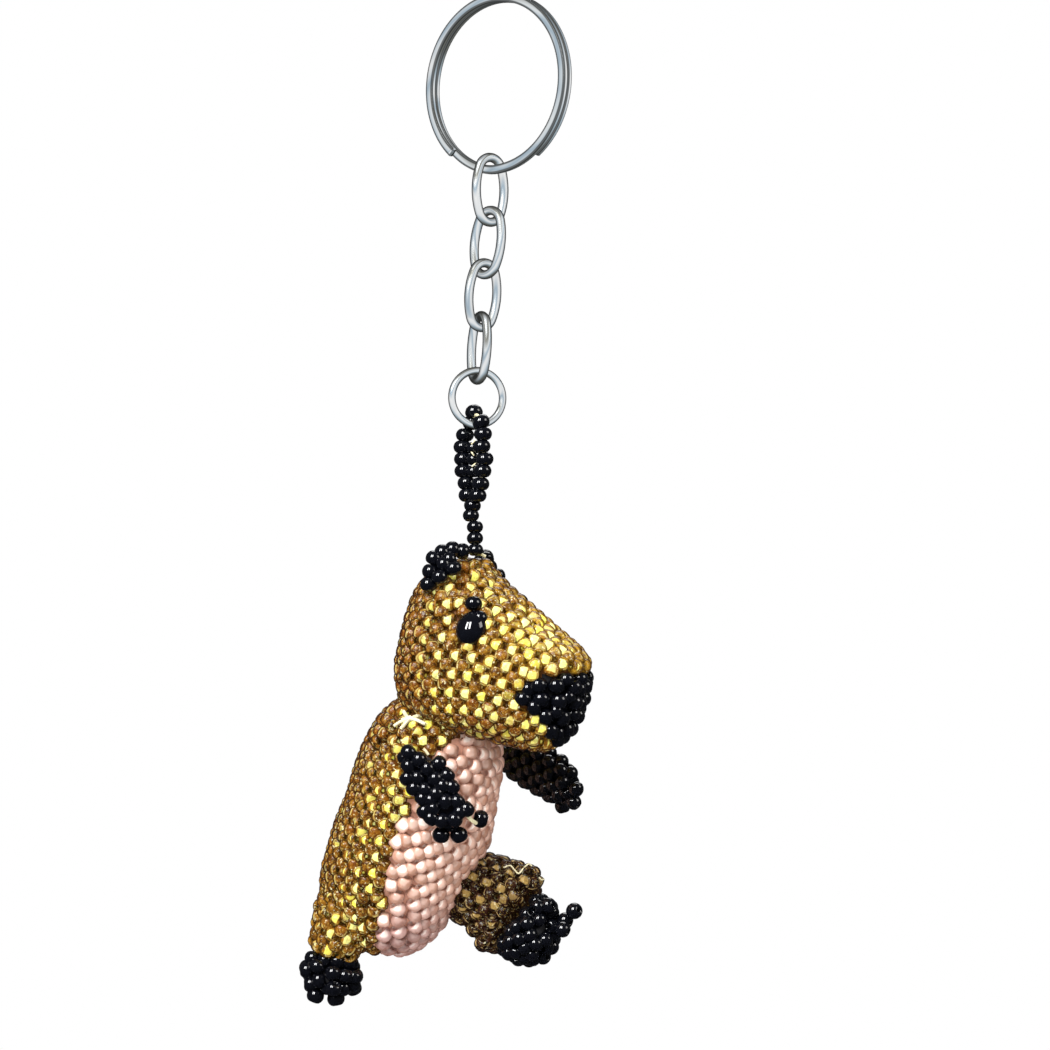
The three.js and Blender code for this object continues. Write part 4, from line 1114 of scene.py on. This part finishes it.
# Right foot beads on the side towards the viewer: (across, drop)
FOOT_SPOTS = [
    (-23.63, 134.274), (-22.796, 132.606), (-21.128, 132.884), (-19.46, 133.023),
    (-17.931, 133.162), (-20.016, 134.691), (-21.962, 135.664), (-18.348, 135.108),
    (-23.074, 136.22), (-20.572, 136.776), (-18.626, 136.776), (-17.097, 135.247)]
FOOT_MIDDLE = -20.294, 134.83
FOOT_HALF_WIDTH, FOOT_HALF_HEIGHT = 3.614, 2.502
foot_beads = []
for k, (across, drop) in enumerate(FOOT_SPOTS):
    fullness = 1 - min(1.0, math.hypot((across - FOOT_MIDDLE[0]) / FOOT_HALF_WIDTH,
                                       (drop - FOOT_MIDDLE[1]) / FOOT_HALF_HEIGHT))
    place = at_depth(across, drop, -4.6 + 2.4 * math.sqrt(fullness))
    axis = (0.2, 0.1, 1) if k % 2 else (0.5, -0.8, 0)
    foot_beads.append(Bead(place, axis, TOWARD, 2.4, 1.95))
foot_keep_off = [(bead.place, SPOT_KEEP) for bead in foot_beads]
for side, table, outward, placed, keep_off, diameter in (
        ("right", RIGHT_FOOT, RIGHTWARD, foot_beads, toes["right"] + foot_keep_off, 2.35),
        ("left", LEFT_FOOT, LEFTWARD, [], toes["left"], 2.3)):
    kept, _ = weave_limb(table, outward, FOOT_INSET, keep_off)
    black_beads(f"{side}_foot_beads", placed + [knot_bead(knot, diameter, 1.85) for knot in kept],
                f"leg_{side}", f"{side}_foot")
    add_core(f"{side}_foot_core", table, outward, 1.4, f"leg_{side}")

# ---------------------------------------------------------------- hanging loop and strand
# Pairs of beads down the loop: left across and drop, right across and drop, and how far the
# right one stands towards the viewer and the left one away
LOOP_ROWS = [
    (-1.668, 59.909, 0.834, 59.77, 1.85), (-2.0155, 61.577, 0.6255, 61.5075, 1.75),
    (-1.946, 63.245, 1.0425, 63.245, 1.6), (-1.8765, 64.913, 0.7645, 64.913, 1.45),
    (-1.4595, 66.581, 0.4865, 66.72, 1.3), (-1.3205, 68.249, 0.0695, 68.3185, 1.15)]
# Beads at the top of the loop: (across, drop, toward), axis
LOOP_TOP = [((-0.417, 56.7815, -1.2), (0.3, 0.3, 0.9)), ((0.556, 58.102, 1.3), (-0.22, 0.39, 0.9)),
            ((-0.7645, 58.241, -1.7), (0.1, 0.1, 1))]
loop = [Bead(at_depth(*spot), axis, TOWARD, 2.5, 1.9) for spot, axis in LOOP_TOP]
for left_across, left_drop, right_across, right_drop, depth in LOOP_ROWS:
    for spot in ((left_across, left_drop, -depth), (right_across, right_drop, depth)):
        axis = (0.05 * rng.normal(), 0.05 * rng.normal(), 1)
        loop.append(Bead(at_depth(*spot), axis, TOWARD, 2.55, 1.8))
for across, drop in ((-0.5282, 61.716), (-0.4865, 63.3145), (-0.5282, 64.9825)):
    loop.append(Bead(at_depth(across, drop, -0.5), (0.05, 0, 1), TOWARD, 2.0, 1.6))
loop.append(Bead(at_depth(-0.6255, 69.7085, 0), (0.1, 0, 1), TOWARD, 2.4, 1.7))
black_beads("hanger_loop_beads", loop, "hanger", "hanger_loop")
strand = [Bead(at_depth(across, drop, 0), (0.04, 0.05, 1), TOWARD, 2.3, 1.66)
          for across, drop in ((-0.834, 71.0985), (-0.278, 72.697), (-0.278, 74.2677))]
black_beads("hanger_strand_beads", strand, "strand", "hanger_strand")
black_beads("crown_bead_black", [Bead(at_depth(-0.2085, 75.894, 0.1), UP, TOWARD, 2.2, 1.65)],
            "head", "crown_bead")


# ---------------------------------------------------------------- threads
def add_thread(name, points, radius, body, stands=(), per=6, around=8):
    """Round thread along a smooth curve through points."""
    line = [curve_point(points, i, k / per) for i in range(len(points) - 1) for k in range(per)]
    line = np.array(line + [points[-1]])
    side = np.array([0.31, 0.2, 0.93])
    vertices = []
    for centre, tangent in zip(line, unit(np.gradient(line, axis=0))):
        side = side - side @ tangent * tangent
        side /= np.linalg.norm(side)
        other = np.cross(tangent, side)
        for j in range(around):
            a = 2 * math.pi * j / around
            vertices.append(centre + radius * math.cos(a) * side + radius * math.sin(a) * other)
    faces = tube_sides(len(line), around) + tube_caps(len(line), around)
    add_piece(name, vertices, faces, THREAD, body, "thread", stands)


def on(surface, lift, spots):
    return [nearest_on(surface, across, drop, lift)[0] for across, drop in spots]


def free(spots):
    return [at_depth(*spot) for spot in spots]


add_thread("crown_thread_end", on(HEAD_SURFACE, 0.95, [
    (0.2085, 77.145), (0.556, 77.423), (0.9035, 77.701)]), 0.22, "head", ("crown_thread",))
add_thread("loop_core_thread", free([
    (-0.695, 69.917, 0), (-1.39, 67.554, -1.1), (-1.8765, 64.079, -1.5),
    (-1.7375, 60.604, -1.8), (-0.834, 57.963, -1.6), (0, 57.129, 0.2), (0.695, 58.38, 1.5),
    (0.834, 60.604, 1.8), (0.834, 64.079, 1.5), (0.2085, 67.554, 1.1),
    (-0.556, 69.778, 0)]), 0.22, "hanger")
# Short threads across the loop: start and end as (across, drop)
for letter, start, end in (("a", (-0.7645, 61.16), (-0.278, 60.6735)),
                           ("b", (-0.7645, 62.272), (-0.417, 62.7585)),
                           ("c", (-0.695, 64.2875), (-0.2085, 63.8705))):
    middle = (start[0] + end[0]) / 2, (start[1] + end[1]) / 2
    add_thread("loop_thread_" + letter, free([(*start, 0.9), (*middle, 1.0), (*end, 0.9)]),
               0.11, "hanger")
add_thread("strand_core_thread", free([
    (-0.7784, 70.8205, 0), (-0.7228, 71.307, 0), (-0.278, 72.697, 0), (-0.278, 75.199, 0)]),
    0.2, "strand")
# Threads lying on the torso: name, radius, lift, (across, drop) places
for name, radius, lift, spots in (
        ("neck_thread_knot", 0.50, 1.15, [
            (-9.869, 100.2468), (-9.3825, 100.08), (-8.8265, 99.9966)]),
        ("neck_thread_a", 0.24, 1.25, [
            (-10.842, 100.8445), (-10.147, 100.4275), (-9.1045, 100.0105)]),
        ("neck_thread_b", 0.27, 1.25, [
            (-9.6605, 99.1765), (-9.3825, 99.7325), (-9.1045, 100.08), (-9.5215, 100.5665),
            (-10.008, 101.192)]),
        ("neck_thread_c", 0.30, 1.3, [
            (-9.452, 100.1495), (-8.618, 99.9688), (-7.645, 99.4962)]),
        ("neck_thread_d", 0.26, 1.3, [
            (-9.313, 100.0105), (-8.201, 100.219), (-7.1585, 100.636)]),
        ("arm_thread", 0.2, 1.05, [
            (-7.367, 103.4855), (-7.0473, 103.9025), (-6.7415, 104.3195)])):
    add_thread(name, on(TORSO_SURFACE, lift, spots), radius, "torso")
add_thread("finger_thread", free([
    (-1.3205, 112.7985, 10.4), (-0.7645, 113.424, 10.2), (-0.139, 113.841, 9.2)]),
    0.28, "arm_right")
add_thread("hip_thread_a", on(LEG_SURFACE["right"], 1.2, [
    (-13.622, 122.32), (-14.734, 123.293), (-15.707, 124.3216), (-16.541, 124.266)]),
    0.2, "leg_right")
add_thread("hip_thread_b", on(LEG_SURFACE["right"], 1.2, [
    (-16.263, 124.4745), (-15.568, 125.1), (-15.0815, 125.8645), (-14.734, 126.49)]),
    0.24, "leg_right")
add_thread("far_leg_thread", on(LEG_SURFACE["left"], 1.05, [
    (3.8225, 120.791), (4.726, 120.5825), (5.3515, 121.069), (5.9075, 121.486),
    (6.533, 120.791), (7.1585, 120.6242), (7.8535, 121.2775), (8.34, 121.4165)]),
    0.11, "leg_left")


# ---------------------------------------------------------------- metal parts
def heading(degrees):
    return np.array([math.cos(math.radians(degrees)), math.sin(math.radians(degrees)), 0.0])


# Split ring: two turns of flat wire side by side, with a jog between them
RING_OUTSIDE, RING_RADIAL, RING_AXIAL, RING_PITCH = 25.0, 1.25, 0.86, 0.92
RING_CORNER, CORNER_STEPS = 0.22, 4
RING_START, RING_TRIM, RING_JOG, RING_STEPS = -86.0694, 37.0, 15.0, 330    # three in degrees
ring_mean = RING_OUTSIDE / 2 - RING_RADIAL / 2
ring_across = heading(81)
ring_normal = np.cross(ring_across, UP)
ring_centre = np.array([0.566, -2.99, -(RING_OUTSIDE / 2 - RING_RADIAL)])


def ring_section():
    """Rounded rectangle as (radial, axial, corner mark), with a point midway on each side."""
    x, y, k = RING_RADIAL / 2 - RING_CORNER, RING_AXIAL / 2 - RING_CORNER, RING_CORNER
    corners = []
    for cx, cy, start in ((x, y, 0), (-x, y, 90), (-x, -y, 180), (x, -y, 270)):
        angles = [math.radians(start + 90 * i / CORNER_STEPS) for i in range(CORNER_STEPS + 1)]
        corners.append([(cx + k * math.cos(a), cy + k * math.sin(a), 1.0) for a in angles])
    section = []
    for i, corner in enumerate(corners):
        last, following = corner[-1], corners[(i + 1) % 4][0]
        middle = (last[0] + following[0]) / 2, (last[1] + following[1]) / 2, 0.0
        section += [*corner, middle]
    return section


def add_split_ring():
    section = ring_section()
    vertices = []
    for i in range(RING_STEPS + 1):
        turned = RING_TRIM + (720 - 2 * RING_TRIM) * i / RING_STEPS
        s = float(np.clip((turned - 360 + RING_JOG) / (2 * RING_JOG), 0, 1))
        s = s * s * s * (s * (6 * s - 15) + 10)
        a = math.radians(RING_START + turned)
        out = ring_across * math.cos(a) + UP * math.sin(a)
        centre = ring_centre + out * ring_mean + ring_normal * (s - 0.5) * RING_PITCH
        vertices += [centre + out * radial + ring_normal * axial for radial, axial, _ in section]
    rings, around = RING_STEPS + 1, len(section)
    add_piece("split_ring_steel", vertices, tube_sides(rings, around) + tube_caps(rings, around),
              STEEL, "ring", "steel", ("split_ring",),
              {"corner": [mark for *_, mark in section] * rings, "flat": [1.0] * len(vertices)})


def oval(half_width, half_height, end):
    """Length of an oval of arcs, and its point and outward direction at a distance along it.

    Distances run from the middle of one side; end is the radius of the ends.
    """
    k = half_height - end
    if half_width - end > 0.01:
        side_radius = (half_width ** 2 + k * k - end * end) / (2 * (half_width - end))
        phi = math.atan2(k, side_radius - half_width)
    else:
        side_radius, phi = half_width, math.pi / 4
    side_length = side_radius * phi
    length = 4 * side_length + 2 * end * (math.pi - 2 * phi)

    def at(s):
        quarter = length / 4
        part = min(3, int(s // quarter))
        rest = s - part * quarter
        rest = quarter - rest if part % 2 else rest
        if rest <= side_length:
            a = rest / side_radius
            x = half_width - side_radius + side_radius * math.cos(a)
            z = side_radius * math.sin(a)
        else:
            a = phi + (rest - side_length) / end
            x, z = end * math.cos(a), k + end * math.sin(a)
        flip_x, flip_z = (-1 if part in (1, 2) else 1), (-1 if part >= 2 else 1)
        return x * flip_x, z * flip_z, math.cos(a) * flip_x, math.sin(a) * flip_z

    return length, at


def add_wire_loop(name, centre, side, up, shape, wire, body, replaced, rings=112, around=18):
    """Closed loop of round wire; shape is the half width, half height and end radius."""
    length, at = oval(*shape)
    normal = np.cross(side, up)
    vertices = []
    for i in range(rings):
        x, z, out_x, out_z = at(length * i / rings)
        middle, out = centre + side * x + up * z, side * out_x + up * out_z
        for j in range(around):
            a = 2 * math.pi * j / around
            vertices.append(middle + wire / 2 * (out * math.cos(a) + normal * math.sin(a)))
    add_piece(name, vertices, tube_sides(rings, around, closed=True), STEEL, body, "steel",
              (replaced,))


add_split_ring()

LINK_WIRE, LINK_WIDTH, LINK_HEIGHT, LINK_END = 1.3, 6.0, 10.3, 1.9
LINK_PLAY, FIRST_PLAY = 0.36, 0.3
LINKS = [(156, 0.5), (82, 6.0), (156, 4.2), (58, 3.4)]     # heading and tilt, in degrees
TILT_TOWARDS = np.array([0.5, -0.866, 0])
link_half_width = (LINK_WIDTH - LINK_WIRE) / 2
link_half_height = (LINK_HEIGHT - LINK_WIRE) / 2
# each link hangs from the middle of the wire above it
hang = ring_centre + np.array([0, 0, -ring_mean]) + ring_across * 1.3 + np.array([0, 0, 0.07])
reach = RING_RADIAL / 2 + 0.12
for k, (turn, tilt) in enumerate(LINKS):
    up = unit(UP + TILT_TOWARDS * math.tan(math.radians(tilt)))
    side = heading(turn)
    side = unit(side - side @ up * up)
    top = hang + up * (reach + LINK_WIRE / 2 + (LINK_PLAY if k else FIRST_PLAY))
    centre = top - up * link_half_height
    add_wire_loop(f"chain_link_{k + 1}_wire", centre, side, up,
                  (link_half_width, link_half_height, LINK_END), LINK_WIRE,
                  f"link_{k + 1}", f"chain_link_{k + 1}")
    hang = centre - up * link_half_height
    reach = LINK_WIRE / 2

JUMP_OUTSIDE, JUMP_WIRE, JUMP_PLAY = 8.6, 1.05, 0.16
jump_mean = (JUMP_OUTSIDE - JUMP_WIRE) / 2
jump_centre = hang + np.array([0, 0, LINK_WIRE / 2 + JUMP_WIRE / 2 + JUMP_PLAY - jump_mean])
add_wire_loop("jump_ring_wire", jump_centre, heading(142), UP, (jump_mean,) * 3, JUMP_WIRE,
              "jump", "jump_ring")

# ---------------------------------------------------------------- stage, lights, camera
scene = bpy.context.scene
FLOOR_HALF, FLOOR_Z = 0.45, -0.32      # metres


def floor_material():
    """Pale floor that fades to white away from the middle, for the camera only."""
    material, g = new_material("pale_floor")
    x, y, _ = g.separate(g.value("TexCoord", "Object"))
    level = g.value("CombineXYZ", 0, {0: x, 1: y})
    distance = g.value("VectorMath", "Value", {0: level}, operation="LENGTH")
    fade = distance.step(low=0.10, high=0.42) * g.value("LightPath", "Is Camera Ray")
    pale = g.mix((0.80, 0.80, 0.79), (0.84, 0.84, 0.83), factor=g.noise(scale=6))
    g.surface({"Base Color": g.mix(pale, (0.0, 0.0, 0.0), factor=fade), "Roughness": 0.9,
               "Specular IOR Level": 0.1, "Emission Color": (1.0, 1.0, 1.0),
               "Emission Strength": fade})
    return material


def add_floor():
    mesh = bpy.data.meshes.new("floor")
    corners = ((-1, -1), (1, -1), (1, 1), (-1, 1))
    mesh.from_pydata([(x * FLOOR_HALF, y * FLOOR_HALF, FLOOR_Z) for x, y in corners], [],
                     [(0, 1, 2, 3)])
    mesh.materials.append(floor_material())
    floor = bpy.data.objects.new("floor", mesh)
    scene.collection.objects.link(floor)
    floor.visible_glossy = False


def set_world():
    """White behind the scene; grey below to white above for its light, dim in reflections."""
    world = bpy.data.worlds.new("studio")
    scene.world = world
    g = Graph(world)
    path = g.node("LightPath")
    camera_ray = Value(g, path.outputs["Is Camera Ray"])
    glossy_ray = Value(g, path.outputs["Is Glossy Ray"])
    height = g.separate(g.value("TexCoord", "Generated"))[2]
    sky = g.ramp(g.math("MULTIPLY_ADD", height, 0.5, 0.5),
                 [(0.0, (0.36, 0.36, 0.38)), (1.0, (1.0, 1.0, 1.0))])
    strength = g.math("MULTIPLY_ADD", glossy_ray, -0.42, 0.50)
    surroundings = g.value("Background", 0, {0: sky, 1: strength})
    backdrop = g.value("Background", 0, {0: (1, 1, 1), 1: 1.0})
    g.node("OutputWorld", {
        0: g.value("MixShader", 0, {0: camera_ray, 1: surroundings, 2: backdrop})})


LIGHT_TARGET = np.array([0.0, 0.0, -100.0])


def add_light(name, direction, distance, size, power, color=(1, 1, 1)):
    """Area light: direction is (across, up, toward), distance in mm, size in metres."""
    across, up, toward = direction
    away = unit(ACROSS * across + UP * up + TOWARD * toward)
    data = bpy.data.lights.new(name, "AREA")
    data.shape = "RECTANGLE"
    data.size, data.size_y = size
    data.energy, data.color = power, color
    light = bpy.data.objects.new(name, data)
    scene.collection.objects.link(light)
    light.location = Vector((LIGHT_TARGET + SHIFT + away * distance) * MM)
    light.rotation_euler = Vector(away).to_track_quat("Z", "Y").to_euler()


def add_camera():
    data = bpy.data.cameras.new("camera")
    data.lens, data.sensor_width = 100, 36
    data.clip_start, data.clip_end = 0.01, 10
    camera = bpy.data.objects.new("camera", data)
    scene.collection.objects.link(camera)
    camera.location = Vector(np.array([-347.74, -208.48, -72.42]) + SHIFT) * MM
    # looks level, straight against TOWARD
    camera.rotation_euler = Vector((0.8660254, 0.5, 0)).to_track_quat("-Z", "Y").to_euler()
    scene.camera = camera


add_floor()
set_world()
add_light("key_left", (-0.52, 0.62, 0.64), distance=620, size=(0.10, 0.34), power=4.0)
add_light("key_right", (-0.22, 0.64, 0.76), distance=620, size=(0.10, 0.34), power=4.0)
add_light("fill_right", (0.95, 0.55, 0.35), distance=700, size=(0.30, 0.30), power=2.0,
          color=(1.0, 0.97, 0.92))
add_light("back_top", (0.1, 0.8, -0.75), distance=700, size=(0.4, 0.3), power=1.6)
add_camera()
scene.view_settings.view_transform = "Standard"
scene.view_settings.look = "None"
scene.cycles.max_bounces = 6
scene.cycles.diffuse_bounces = 3
scene.cycles.glossy_bounces = 4
scene.cycles.use_denoising = True
